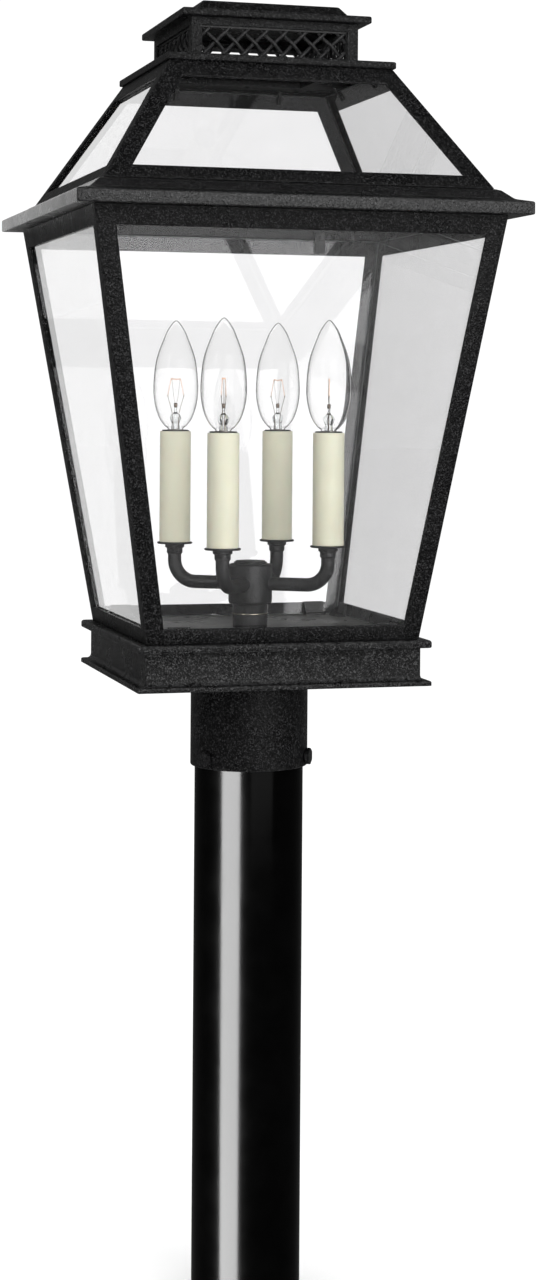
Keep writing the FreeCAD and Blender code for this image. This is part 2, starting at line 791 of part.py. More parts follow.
def make_cluster():
    """Hub on its threaded tube, with spacer, bright ring, cap and nut."""
    hub_r = dim("hub_radius")
    neck_r = dim("neck_radius")
    clear = "Dims.nipple_radius + 0.1"
    cavity = dim("hub_cavity")
    corners = [
        (clear, dim("ring_top")),
        (neck_r, dim("ring_top")),
        (neck_r, dim("hub_foot")),
        ("Dims.hub_radius - 0.8", dim("hub_foot")),
        (hub_r, "Dims.hub_foot + 0.8"),
        (hub_r, "Dims.hub_top - 1.2"),
        ("Dims.hub_radius - 1.2", dim("hub_top")),
        (cavity, dim("hub_top")),
        (cavity, "Dims.hub_foot + 6"),
        (clear, "Dims.hub_foot + 6"),
    ]
    body = turned("cluster_hub", corners)
    body.Placement.Rotation = FreeCAD.Rotation(FreeCAD.Vector(0, 0, 1), size("lamp_turn"))
    hole = circles(body, "arm_hole", ["Dims.arm_radius + 0.05"], "YZ_Plane", up=dim("arm_level"))
    bored = cut(body, hole, "Dims.hub_radius + 5", reverse=True)
    polar(body, [bored], 4)
    finish(body)

    spigot = "Dims.hub_cavity - 0.1"
    rim = dim("hub_cap_radius")
    crown = "Dims.hub_top + Dims.hub_cap_thick"
    corners = [
        ("0", "Dims.hub_top - 3"),
        (spigot, "Dims.hub_top - 3"),
        (spigot, dim("hub_top")),
        (rim, dim("hub_top")),
        (rim, f"{crown} - 0.6"),
        (f"{rim} - 0.6", crown),
        ("0", crown),
    ]
    finish(turned("hub_cap", corners))

    wide = "Dims.neck_radius + Dims.ring_overhang"
    foot = dim("ring_foot")
    top = dim("ring_top")
    finish(turned("neck_ring", [(clear, foot), (wide, foot), (wide, top), (clear, top)]))

    floor = "Dims.base_height + Dims.floor_thick"
    finish(turned("neck_spacer", [(clear, floor), (neck_r, floor), (neck_r, foot), (clear, foot)]))

    low = "Dims.base_height - Dims.base_wall - 7"
    high = "Dims.hub_foot + 5.5"
    bore = dim("nipple_bore")
    outside = dim("nipple_radius")
    finish(turned("cluster_nipple", [(bore, low), (outside, low), (outside, high), (bore, high)]))

    body = start_body("nipple_nut")
    underside = "Dims.base_height - Dims.base_wall"
    thin = dim("nut_flange_thick")
    washer = circles(body, "nut_flange", [dim("nut_flange"), clear], lift=f"{underside} - {thin}")
    pad(body, washer, thin)
    nut = circles(body, "nut_body", [dim("nut_radius"), clear], lift=f"{underside} - Dims.nut_thick")
    pad(body, nut, f"Dims.nut_thick - {thin}")
    return finish(body)


def round_lamps(label, steps):
    """Four like turned pieces, one under or on each lamp."""
    body = start_body(label)
    body.Placement.Rotation = FreeCAD.Rotation(FreeCAD.Vector(0, 0, 1), size("lamp_turn"))
    shapes = []
    for i, (inner, outer, foot, top) in enumerate(steps):
        radii = [outer, inner] if inner else [outer]
        ring = circles(body, f"{label}_{i}", radii, lift=foot, across=dim("lamp_reach"))
        shapes.append(pad(body, ring, f"{top} - ({foot})"))
    polar(body, shapes, 4)
    return finish(body)


def make_arms():
    """Four bent tubes from the hub out and up to the lamps."""
    body = start_body("lamp_arms")
    body.Placement.Rotation = FreeCAD.Rotation(FreeCAD.Vector(0, 0, 1), size("lamp_turn"))
    path = open_sketch(body, "arm_path", "XZ_Plane", None)
    reach = size("lamp_reach")
    bend = size("arm_bend")
    level = size("arm_level")
    start = FreeCAD.Vector(size("arm_start"), level, 0)
    path.addGeometry(Part.LineSegment(start, FreeCAD.Vector(reach - bend, level, 0)), False)
    middle = FreeCAD.Vector(reach - bend, level + bend, 0)
    arc = Part.ArcOfCircle(Part.Circle(middle, FreeCAD.Vector(0, 0, 1), bend), -math.pi / 2, 0)
    path.addGeometry(arc, False)
    top = FreeCAD.Vector(reach, size("arm_top"), 0)
    path.addGeometry(Part.LineSegment(FreeCAD.Vector(reach, level + bend, 0), top), False)
    path.addConstraint(Sketcher.Constraint("Tangent", 0, 2, 1, 1))
    path.addConstraint(Sketcher.Constraint("Tangent", 1, 2, 2, 1))
    path.addConstraint(Sketcher.Constraint("Horizontal", 0))
    path.addConstraint(Sketcher.Constraint("Vertical", 2))
    hold(path, "DistanceX", 0, 1, dim("arm_start"))
    hold(path, "DistanceY", 0, 1, dim("arm_level"))
    hold(path, "DistanceX", 2, 2, dim("lamp_reach"))
    hold(path, "DistanceY", 2, 2, dim("arm_top"))
    index = path.addConstraint(Sketcher.Constraint("Radius", 1, bend))
    path.setExpression(f"Constraints[{index}]", dim("arm_bend"))
    radii = [dim("arm_radius"), dim("arm_bore")]
    section = circles(body, "arm_section", radii, "YZ_Plane", dim("arm_start"), up=dim("arm_level"))
    sweep = body.newObject("PartDesign::AdditivePipe", "arm_sweep")
    sweep.Profile = section
    sweep.Spine = (path, ["Edge1", "Edge2", "Edge3"])
    polar(body, [sweep], 4)
    return finish(body)


def make_lamp_holders():
    """Drip cups, sockets and candle sleeves on the four arms."""
    cup = dim("cup_radius")
    bore = "Dims.arm_radius + 0.05"
    seat = dim("arm_top")
    wire_way = dim("arm_bore")
    wide = dim("disc_radius")
    steps = [
        (bore, "Dims.cup_radius - 0.3", dim("cup_foot"), "Dims.cup_foot + 0.8"),
        (bore, cup, "Dims.cup_foot + 0.8", seat),
        (wire_way, cup, seat, "Dims.disc_foot - 0.6"),
        (wire_way, "Dims.cup_radius + 1", "Dims.disc_foot - 0.6", dim("disc_foot")),
        (wire_way, "Dims.disc_radius - 0.6", dim("disc_foot"), "Dims.disc_foot + 0.5"),
        (wire_way, wide, "Dims.disc_foot + 0.5", dim("disc_top")),
    ]
    round_lamps("drip_cups", steps)
    mouth = "Dims.bulb_base_radius + 0.08"
    outside = dim("socket_radius")
    steps = [
        (wire_way, cup, dim("disc_top"), "Dims.disc_top + 3"),
        (wire_way, dim("socket_stem"), "Dims.disc_top + 3", dim("socket_foot")),
        (None, outside, dim("socket_foot"), "Dims.bulb_base_foot - 2"),
        (mouth, outside, "Dims.bulb_base_foot - 2", "Dims.sleeve_top + Dims.socket_rim"),
    ]
    round_lamps("lamp_sockets", steps)
    tube = dim("sleeve_radius")
    steps = [(dim("sleeve_bore"), tube, "Dims.disc_top + 0.1", dim("sleeve_top"))]
    round_lamps("candle_sleeves", steps)


def place_lamp(piece, index):
    """Stand a piece on the axis of one lamp."""
    heading = f"Dims.lamp_turn + {90 * index}"
    piece.setExpression("Placement.Base.x", f"Dims.lamp_reach * cos({heading})")
    piece.setExpression("Placement.Base.y", f"Dims.lamp_reach * sin({heading})")
    piece.setExpression("Placement.Base.z", dim("base_level"))


def bulb_shell():
    """Closed flame-shaped envelope: a smooth meridian turned about the axis, inner wall inside it."""
    neck = size("bulb_base_radius") - 0.6
    wide = size("bulb_radius")
    rim = size("sleeve_top")
    length = size("bulb_tip") - rim
    lower = ((0.50, 0.05), (0.74, 0.12), (0.93, 0.24), (1.0, 0.40))
    upper = ((0.88, 0.64), (0.54, 0.84), (0.33, 0.93))

    def meridian(inset):
        start = FreeCAD.Vector(neck - inset, 0, rim - 5)
        knots = [FreeCAD.Vector(neck - inset, 0, rim + 1.4)]
        knots += [FreeCAD.Vector(wide * across - inset, 0, rim + length * up) for across, up in lower + upper]
        knots.append(FreeCAD.Vector(0, 0, rim + length - 1.5 * inset))
        curve = Part.BSplineCurve()
        tangents = {"InitialTangent": FreeCAD.Vector(0, 0, 1), "FinalTangent": FreeCAD.Vector(-1, 0, 0)}
        curve.interpolate(knots, **tangents)
        return [Part.LineSegment(start, knots[0]).toShape(), curve.toShape()]

    outer = meridian(0.0)
    inner = meridian(size("bulb_wall"))
    foot_edge = Part.LineSegment(outer[0].Vertexes[0].Point, inner[0].Vertexes[0].Point).toShape()
    tip_edge = Part.LineSegment(outer[1].Vertexes[-1].Point, inner[1].Vertexes[-1].Point).toShape()
    edges = Part.sortEdges(outer + [tip_edge] + inner + [foot_edge])[0]
    return Part.Face(Part.Wire(edges)).revolve(FreeCAD.Vector(0, 0, 0), FreeCAD.Vector(0, 0, 1), 360)


def make_bulb(index):
    """One candle bulb: glass envelope, screw base and the glass stem inside."""
    number = index + 1
    envelope = DOC.addObject("Part::Feature", f"bulb_glass_{number}")
    envelope.Label = f"bulb_glass_{number}"
    envelope.Shape = bulb_shell()
    place_lamp(envelope, index)
    finish(envelope)

    shell = dim("bulb_base_radius")
    foot = dim("bulb_base_foot")
    rim = "Dims.sleeve_top + Dims.bulb_base_rim"
    corners = [
        ("0", "Dims.bulb_base_foot - 1.6"),
        ("2.2", "Dims.bulb_base_foot - 1.6"),
        ("2.6", foot),
        (shell, "Dims.bulb_base_foot + 2.6"),
        (shell, rim),
        ("Dims.bulb_base_radius - 0.5", rim),
        ("Dims.bulb_base_radius - 0.5", "Dims.bulb_base_foot + 4"),
        ("0", "Dims.bulb_base_foot + 4"),
    ]
    base = turned(f"bulb_base_{number}", corners)
    place_lamp(base, index)
    finish(base)

    flare = "Dims.sleeve_top - 5"
    rod = dim("stem_radius")
    crown = "Dims.sleeve_top + Dims.stem_height"
    corners = [
        ("0", flare),
        (f"{rod} + 2.9", flare),
        (f"2 * {rod}", "Dims.sleeve_top"),
        (f"{rod} + 0.2", "Dims.sleeve_top + 4"),
        (rod, f"{crown} - 5"),
        (f"{rod} + 0.6", f"{crown} - 3"),
        (rod, f"{crown} - 1"),
        ("0", crown),
    ]
    stem = turned(f"bulb_stem_{number}", corners)
    place_lamp(stem, index)
    finish(stem)


def build():
    """Build every piece in the order in which the lantern goes together."""
    fill_sheet()
    make_post()
    make_fitter()
    for side, heading in (("left", -150), ("right", -30), ("back", 90)):
        make_set_screw(side, heading)
    make_base()
    make_floor()
    make_base_screws()
    make_glazed_body()
    make_foot_clips()
    make_top_clips()
    make_eave()
    make_roof()
    make_vent()
    make_cluster()
    make_arms()
    make_lamp_holders()
    for index in range(4):
        make_bulb(index)
    DOC.recompute()


def check_and_write():
    """Stop at any failed feature or bad shape, then write one file per node."""
    for item in DOC.Objects:
        if "Invalid" in item.State or "Error" in item.State:
            raise RuntimeError(f"{item.Name} failed: {item.State}")
    for node in NODES:
        if node.Shape.isNull() or not node.Shape.isValid():
            raise RuntimeError(f"{node.Label} has no valid shape")
    os.makedirs("parts", exist_ok=True)
    for node in NODES:
        solids = len(node.Shape.Solids)
        print(f"{node.Label}: {solids} solid(s), {node.Shape.Volume:.1f} mm3")
        node.Shape.exportStep(f"parts/{node.Label}.step")


build()
check_and_write()
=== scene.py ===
"""Looks of a four-light post lantern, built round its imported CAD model.

Every sub-assembly of the lantern is a class that holds its sizes in millimetres, works out its
surfaces with numpy and dresses them in its finish. Heights of the lantern are counted from the
bottom edge of its base, as a maker's drawing would, and LEVEL lifts them onto the post.
"""

import json
import logging
import math
from collections.abc import Callable, Sequence
from dataclasses import dataclass, field
from enum import Enum

import bmesh
import bpy
import numpy as np
from mathutils import Matrix, Vector

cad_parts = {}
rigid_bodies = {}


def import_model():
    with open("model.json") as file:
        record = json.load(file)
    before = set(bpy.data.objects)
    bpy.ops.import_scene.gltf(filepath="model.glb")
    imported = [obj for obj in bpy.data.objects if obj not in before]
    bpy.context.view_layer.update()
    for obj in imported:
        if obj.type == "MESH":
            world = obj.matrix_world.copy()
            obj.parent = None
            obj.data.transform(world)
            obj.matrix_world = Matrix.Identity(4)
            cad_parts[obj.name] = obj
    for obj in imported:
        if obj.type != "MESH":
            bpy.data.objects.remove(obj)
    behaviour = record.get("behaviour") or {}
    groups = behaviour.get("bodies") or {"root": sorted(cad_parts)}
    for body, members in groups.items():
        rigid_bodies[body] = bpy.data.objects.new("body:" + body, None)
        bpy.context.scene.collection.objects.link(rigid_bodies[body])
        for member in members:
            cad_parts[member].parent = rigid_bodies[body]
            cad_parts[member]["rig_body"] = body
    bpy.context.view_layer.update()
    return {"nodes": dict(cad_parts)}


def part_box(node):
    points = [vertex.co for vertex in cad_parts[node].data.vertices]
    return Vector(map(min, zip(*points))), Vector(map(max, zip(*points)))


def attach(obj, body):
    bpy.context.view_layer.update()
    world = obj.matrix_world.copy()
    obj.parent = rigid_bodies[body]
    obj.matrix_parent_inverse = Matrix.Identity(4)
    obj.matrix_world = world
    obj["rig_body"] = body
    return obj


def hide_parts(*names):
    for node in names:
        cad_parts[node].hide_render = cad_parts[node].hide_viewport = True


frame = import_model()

MM = 0.001
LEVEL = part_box("base_casting")[0].z / MM
log = logging.getLogger("lantern")

# Points on a rounded edge, the angle in degrees over which an edge stays sharp, and the
# distances in metres under which points are merged and slivers dissolved.
ARC_STEPS = 5
CREASE = 35.0
SAME_PLACE = 2e-7
SLIVER = 1e-7

Section = Sequence[tuple[float, float, float]]
Colour = tuple[float, float, float, float]


class Face(Enum):
    """The four faces of the lantern, each with its heading from the back face in degrees."""

    BACK = 0
    LEFT = 90
    FRONT = 180
    RIGHT = 270


class Corner(Enum):
    """The four corners of the lantern, each with its heading from the back right in degrees."""

    BACK_RIGHT = 0
    BACK_LEFT = 90
    FRONT_LEFT = 180
    FRONT_RIGHT = 270


# ---------------------------------------------------------------------------------------------
# Surfaces
# ---------------------------------------------------------------------------------------------


@dataclass
class Surface:
    """One surface in millimetres.

    points holds the corners, faces the loops of corner numbers, bend is 1 in the middle of a
    rounded edge and 0 on flats, and finish is the number of each face's material.
    """

    points: np.ndarray
    faces: list[list[int]]
    bend: np.ndarray
    finish: list[int]

    def turned(self, heading: float) -> "Surface":
        """The surface turned about the vertical axis by a heading in degrees."""
        c, s = math.cos(math.radians(heading)), math.sin(math.radians(heading))
        spin = np.array([[c, -s, 0.0], [s, c, 0.0], [0.0, 0.0, 1.0]])
        return Surface(self.points @ spin.T, self.faces, self.bend, self.finish)

    def moved(self, x: float = 0.0, y: float = 0.0, z: float = 0.0) -> "Surface":
        """The surface shifted by x, y and z."""
        return Surface(self.points + np.array([x, y, z]), self.faces, self.bend, self.finish)

    def laid(self) -> "Surface":
        """The surface with its vertical axis laid along +Y."""
        x, y, z = self.points.T
        return Surface(np.stack([x, z, -y], axis=1), self.faces, self.bend, self.finish)

    def coated(self, number: int) -> "Surface":
        """The surface with every face in one material."""
        return Surface(self.points, self.faces, self.bend, [number] * len(self.faces))

    def uncapped(self) -> "Surface":
        """The surface without its last two faces, the end caps that skin adds."""
        return Surface(self.points, self.faces[:-2], self.bend, self.finish[:-2])


def joined(parts: Sequence[Surface]) -> Surface:
    """Several surfaces as one.

    Args:
        parts: the surfaces to join.

    Returns:
        One surface with all their points and faces.
    """
    faces, start = [], 0
    for part in parts:
        faces += [[i + start for i in loop] for loop in part.faces]
        start += len(part.points)
    points = np.concatenate([part.points for part in parts])
    bend = np.concatenate([part.bend for part in parts])
    return Surface(points, faces, bend, [n for part in parts for n in part.finish])


def on_each_face(part: Surface) -> Surface:
    """Four of one surface at +Y, turned onto the four faces."""
    return joined([part.turned(face.value) for face in Face])


def skin(points: np.ndarray, bend: np.ndarray | None = None, closed: bool = False) -> Surface:
    """Quads between the neighbours of a grid of points, whose last column joins the first.

    Args:
        points: array of rows x columns x 3, in millimetres.
        bend: array that fits rows x columns, or None for a surface with no rounded edge.
        closed: the last row joins the first; otherwise both end rows are capped.

    Returns:
        The surface.
    """
    rows, cols = points.shape[:2]
    a, b = np.meshgrid(np.arange(rows if closed else rows - 1), np.arange(cols), indexing="ij")
    a2, b2 = (a + 1) % rows, (b + 1) % cols
    quads = np.stack([a * cols + b, a * cols + b2, a2 * cols + b2, a2 * cols + b], axis=-1)
    faces = quads.reshape(-1, 4).tolist()
    if not closed:
        faces.append(list(range(cols))[::-1])
        faces.append(list(range((rows - 1) * cols, rows * cols)))
    edge = np.zeros((rows, cols)) if bend is None else np.broadcast_to(bend, (rows, cols))
    return Surface(points.reshape(-1, 3), faces, edge.reshape(-1), [0] * len(faces))


def rounded(corners: Section) -> tuple[np.ndarray, np.ndarray]:
    """Closed outline whose corners are arcs.

    At a corner with the unit sides a and b that leave it, the arc of radius r touches both
    sides at r / tan(w / 2) from the corner, where w is the angle between them, and its centre
    lies r / sin(w / 2) along their bisector.

    Args:
        corners: (first coordinate, second coordinate, radius) of each corner.

    Returns:
        The outline's points, and how near each is to the middle of its arc, from 0 to 1.
    """
    table = np.array(corners, float)
    point, radius = table[:, :2], np.maximum(table[:, 2], 1e-4)
    a = np.roll(point, 1, axis=0) - point
    b = np.roll(point, -1, axis=0) - point
    a /= np.linalg.norm(a, axis=1, keepdims=True)
    b /= np.linalg.norm(b, axis=1, keepdims=True)
    half = np.arccos(np.clip((a * b).sum(axis=1), -1.0, 1.0)) / 2
    bisector = (a + b) / np.linalg.norm(a + b, axis=1, keepdims=True)
    centre = point + bisector * (radius / np.sin(half))[:, None]
    first = point + a * (radius / np.tan(half))[:, None] - centre
    last = point + b * (radius / np.tan(half))[:, None] - centre
    begin = np.arctan2(first[:, 1], first[:, 0])
    sweep = np.arctan2(last[:, 1], last[:, 0]) - begin
    sweep = (sweep + math.pi) % (2 * math.pi) - math.pi
    share = np.linspace(0.0, 1.0, ARC_STEPS)
    angle = begin[:, None] + sweep[:, None] * share
    spoke = np.stack([np.cos(angle), np.sin(angle)], axis=-1)
    arc = spoke * radius[:, None, None] + centre[:, None]
    bend = np.sin(math.pi * share) * (table[:, 2] > 0.05)[:, None]
    return arc.reshape(-1, 2), bend.reshape(-1)


def rounded_to_axis(corners: Section) -> tuple[np.ndarray, np.ndarray]:
    """Rounded outline whose first and last corners lie on the axis and stay sharp."""
    outline, bend = rounded(corners)
    outline[:ARC_STEPS], outline[-ARC_STEPS:] = corners[0][:2], corners[-1][:2]
    return outline, bend


def circle(steps: int) -> np.ndarray:
    """Angles of equal steps round a circle, in radians."""
    return np.arange(steps) * 2 * math.pi / steps


def round_grid(radius: np.ndarray, angle: np.ndarray, height: np.ndarray | float) -> np.ndarray:
    """Grid of the points (r cos t, r sin t, z), with a row for each height."""
    x, y = radius * np.cos(angle), radius * np.sin(angle)
    return np.stack([x, y, np.broadcast_to(height, x.shape)], axis=-1)


def lathe(
    outline: np.ndarray, bend: np.ndarray | None = None, sides: int = 48, closed: bool = True
) -> Surface:
    """Outline of (radius, height) turned about the vertical axis.

    Args:
        outline: points of (radius, height).
        bend: how rounded the outline is at each point.
        sides: number of steps round the axis.
        closed: the outline is a closed loop; otherwise its ends lie on the axis.

    Returns:
        The turned surface.
    """
    points = round_grid(outline[:, :1], circle(sides), outline[:, 1:])
    made = skin(points, None if bend is None else bend[:, None], closed)
    return made if closed else made.uncapped()


def square_ring(corners: Section, corner: float, closed: bool = True) -> Surface:
    """Section carried round a square with rounded corners.

    A point of the section with half-width w and height z goes round the square of half-width
    w, whose corners are arcs of the same radius.

    Args:
        corners: (half-width, height, radius) of each corner of the section.
        corner: radius of the square's own corners.
        closed: the section is a closed loop; otherwise it runs from the axis back to the axis.

    Returns:
        The moulding's surface, standing at the lantern's level.
    """
    section, bend = rounded(corners) if closed else rounded_to_axis(corners)
    t = np.linspace(0.0, math.pi / 2, ARC_STEPS)
    turn = (np.arange(4)[:, None] * math.pi / 2 + t).reshape(-1)
    mid = np.repeat(np.arange(4) * math.pi / 2 + math.pi / 4, ARC_STEPS)
    half, height = section[:, :1], section[:, 1:]
    soft = np.minimum(corner, np.maximum(half, 0.0))
    x = (half - soft) * math.sqrt(2) * np.cos(mid) + soft * np.cos(turn)
    y = (half - soft) * math.sqrt(2) * np.sin(mid) + soft * np.sin(turn)
    points = np.stack([x, y, np.broadcast_to(height, x.shape)], axis=-1)
    corner_bend = np.tile(np.sin(2 * t), 4) * 0.8
    made = skin(points, np.maximum(bend[:, None], corner_bend[None, :]), closed)
    return (made if closed else made.uncapped()).moved(z=LEVEL)


def tube(
    path: np.ndarray, radius: float, sides: int, across: Sequence[float] = (0.0, 1.0, 0.0)
) -> Surface:
    """Round rod along a path.

    At each point the tangent d is the path's gradient, u is the unit vector of d x across and
    v = d x u, and the rod's skin is path + radius (u cos t + v sin t).

    Args:
        path: n x 3 points in millimetres.
        radius: the rod's radius.
        sides: number of steps round the rod.
        across: a direction that the path never runs along.

    Returns:
        The rod with capped ends.
    """
    d = np.gradient(path, axis=0)
    d /= np.linalg.norm(d, axis=1, keepdims=True)
    u = np.cross(d, np.array(across))
    u /= np.linalg.norm(u, axis=1, keepdims=True)
    v = np.cross(d, u)
    t = circle(sides)[None, :, None]
    return skin(path[:, None] + radius * (u[:, None] * np.cos(t) + v[:, None] * np.sin(t)))


def flowing(points: Sequence[tuple[float, float]], per_span: int = 8) -> np.ndarray:
    """Smooth curve through points in the plane.

    Each span is the Catmull-Rom cubic: its end slopes are half the chord between the points on
    either side.

    Args:
        points: points that the curve passes through.
        per_span: steps on each span.

    Returns:
        The curve's points.
    """
    p = np.array([points[0], *points, points[-1]], float)
    s = np.linspace(0.0, 1.0, per_span, endpoint=False)[None, :, None]
    p0, p1, p2, p3 = (p[i : len(p) - 3 + i, None] for i in range(4))
    square = 2 * p0 - 5 * p1 + 4 * p2 - p3
    cubic = 3 * (p1 - p2) + p3 - p0
    curve = p1 + 0.5 * s * (p2 - p0 + s * (square + s * cubic))
    return np.concatenate([curve.reshape(-1, 2), p[-1:]])


# ---------------------------------------------------------------------------------------------
# Blender objects
# ---------------------------------------------------------------------------------------------


def mesh_of(
    name: str, surface: Surface, materials: Sequence[bpy.types.Material], crease: float = CREASE
) -> bpy.types.Object:
    """A mesh object of a surface, with doubles merged and its faces pointing outwards.

    Args:
        name: name of the object.
        surface: the surface, in millimetres.
        materials: its materials, numbered as in the surface's finish.
        crease: angle in degrees over which an edge stays sharp.

    Returns:
        The object, in metres, standing at the origin.
    """
    mesh = bpy.data.meshes.new(name)
    mesh.from_pydata((surface.points * MM).tolist(), [], surface.faces)
    bend = mesh.attributes.new("bend", "FLOAT", "POINT")
    bend.data.foreach_set("value", surface.bend.astype(np.float32))
    mesh.polygons.foreach_set("material_index", surface.finish)
    work = bmesh.new()
    work.from_mesh(mesh)
    bmesh.ops.remove_doubles(work, verts=work.verts, dist=SAME_PLACE)
    bmesh.ops.dissolve_degenerate(work, edges=work.edges, dist=SLIVER)
    bmesh.ops.recalc_face_normals(work, faces=work.faces)
    work.to_mesh(mesh)
    work.free()
    for material in materials:
        mesh.materials.append(material)
    mesh.polygons.foreach_set("use_smooth", [True] * len(mesh.polygons))
    mesh.set_sharp_from_angle(angle=math.radians(crease))
    piece = bpy.data.objects.new(name, mesh)
    bpy.context.scene.collection.objects.link(piece)
    return piece


def body_of(node: str) -> str:
    """The CAD body that a node rides on."""
    return frame["nodes"][node]["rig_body"]


def fit(piece: bpy.types.Object, *nodes: str) -> bpy.types.Object:
    """Make a piece stand for CAD nodes and ride with them.

    Args:
        piece: the finished piece.
        nodes: the nodes that it replaces; all ride on one body.

    Returns:
        The piece.
    """
    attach(piece, body_of(nodes[0]))
    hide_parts(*nodes)
    log.info("%s stands for %s", piece.name, ", ".join(nodes))
    return piece


def fitted(
    name: str, node: str, surface: Surface, *finish: bpy.types.Material, crease: float = CREASE
) -> bpy.types.Object:
    """Make a piece of a surface and fit it in the place of one node.

    Args:
        name: name of the piece.
        node: the node that it replaces.
        surface: its surface, in millimetres.
        finish: its materials, numbered as in the surface's finish.
        crease: angle in degrees over which an edge stays sharp.

    Returns:
        The piece.
    """
    return fit(mesh_of(name, surface, finish, crease), node)


def add(piece: bpy.types.Object, beside: str) -> bpy.types.Object:
    """Make a piece that no CAD node shows ride with a node.

    Args:
        piece: the finished piece.
        beside: the node that it belongs with.

    Returns:
        The piece.
    """
    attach(piece, body_of(beside))
    log.info("%s rides with %s", piece.name, beside)
    return piece


def paint(material: bpy.types.Material, *nodes: str) -> None:
    """Dress CAD nodes that stay as they are in a finish.

    Args:
        material: the finish.
        nodes: names of the nodes.
    """
    for node in nodes:
        piece = frame["nodes"][node]
        if not piece.material_slots:
            piece.data.materials.append(material)
        for place in piece.material_slots:
            place.material = material
        log.info("%s keeps its CAD shape in %s", node, material.name)


def softened(name: str, node: str, material: bpy.types.Material, width: float) -> bpy.types.Object:
    """A copy of a CAD node with its edges eased by a bevel.

    Args:
        name: name of the new piece.
        node: the node to copy.
        material: its finish.
        width: width of the bevel in millimetres.

    Returns:
        The piece, fitted in the node's place.
    """
    cad_gap, flat, sharp = 2e-6, math.radians(3), math.radians(40)
    mesh = bpy.data.meshes.new(name)
    work = bmesh.new()
    work.from_mesh(frame["nodes"][node].data)
    bmesh.ops.remove_doubles(work, verts=work.verts, dist=cad_gap)
    bmesh.ops.dissolve_limit(work, angle_limit=flat, verts=work.verts, edges=work.edges)
    work.to_mesh(mesh)
    work.free()
    mesh.materials.clear()
    mesh.materials.append(material)
    mesh.polygons.foreach_set("use_smooth", [False] * len(mesh.polygons))
    piece = bpy.data.objects.new(name, mesh)
    bpy.context.scene.collection.objects.link(piece)
    bevel = piece.modifiers.new("eased", "BEVEL")
    bevel.width = width * MM
    bevel.segments = 2
    bevel.limit_method = "ANGLE"
    bevel.angle_limit = sharp
    return fit(piece, node)


def drill(piece: bpy.types.Object, cutters: Surface) -> None:
    """Cut holes right through a piece.

    Args:
        piece: the piece; its mesh is replaced by the drilled one.
        cutters: closed rods where the holes go, in millimetres.
    """
    tool = mesh_of("drill", cutters, [])
    cut = piece.modifiers.new("holes", "BOOLEAN")
    cut.object = tool
    cut.solver = "EXACT"
    evaluated = piece.evaluated_get(bpy.context.evaluated_depsgraph_get())
    made = bpy.data.meshes.new_from_object(evaluated)
    piece.modifiers.clear()
    piece.data = made
    made.set_sharp_from_angle(angle=math.radians(CREASE))
    bpy.data.objects.remove(tool)


# ---------------------------------------------------------------------------------------------
# Finishes
# ---------------------------------------------------------------------------------------------


class Tree:
    """Short-hand for building a node tree."""

    def __init__(self, tree: bpy.types.NodeTree) -> None:
        """Keep the tree to build in."""
        self.tree = tree

    def node(self, kind: str, values: dict | None = None, **settings) -> bpy.types.Node:
        """Add a node.

        Args:
            kind: its type, without the ShaderNode in front.
            values: what goes into its inputs: a socket is linked and a value is set.
            settings: properties of the node.

        Returns:
            The node.
        """
        made = self.tree.nodes.new(f"ShaderNode{kind}")
        for name, value in settings.items():
            setattr(made, name, value)
        self.feed(made, values or {})
        return made

    def feed(self, node: bpy.types.Node, values: dict) -> None:
        """Fill a node's inputs: a socket is linked and a value is set."""
        for key, value in values.items():
            if isinstance(value, bpy.types.NodeSocket):
                self.tree.links.new(value, node.inputs[key])
            else:
                node.inputs[key].default_value = value

    def times(self, first, second) -> bpy.types.NodeSocket:
        """Product of two values or sockets."""
        return self.node("Math", {0: first, 1: second}, operation="MULTIPLY").outputs[0]

    def plus(self, first, second) -> bpy.types.NodeSocket:
        """Sum of two values or sockets."""
        return self.node("Math", {0: first, 1: second}, operation="ADD").outputs[0]

    def spread(self, value, low: float, high: float, to_low: float = 0.0, to_high: float = 1.0):
        """A value mapped from one range onto another, and held inside it."""
        keys = {"Value": value, "From Min": low, "From Max": high}
        return self.node("MapRange", keys | {"To Min": to_low, "To Max": to_high}).outputs[0]

    def blend(self, share, first, second) -> bpy.types.NodeSocket:
        """Two colours mixed by a share."""
        made = self.node("Mix", {0: share, 6: first, 7: second}, data_type="RGBA")
        return made.outputs[2]

    def noise(self, where, scale, detail: float, rough: float = 0.55, warp: float = 0.0):
        """Noise at a place, as one value from 0 to 1."""
        keys = {"Vector": where, "Scale": scale, "Detail": detail, "Roughness": rough}
        return self.node("TexNoise", keys | {"Distortion": warp}).outputs["Fac"]


def open_group(
    name: str, takes: dict[str, float], gives: dict[str, str]
) -> tuple[Tree, bpy.types.Node, bpy.types.Node]:
    """Start a shader node group with named sockets.

    Args:
        name: name of the group.
        takes: its number inputs with their usual values.
        gives: its outputs with their socket types.

    Returns:
        The group's tree, its input node and its output node.
    """
    group = bpy.data.node_groups.new(name, "ShaderNodeTree")
    sockets, number = group.interface, "NodeSocketFloat"
    for socket, value in takes.items():
        made = sockets.new_socket(name=socket, in_out="INPUT", socket_type=number)
        made.default_value = value
    for socket, kind in gives.items():
        sockets.new_socket(name=socket, in_out="OUTPUT", socket_type=kind)
    return Tree(group), group.nodes.new("NodeGroupInput"), group.nodes.new("NodeGroupOutput")


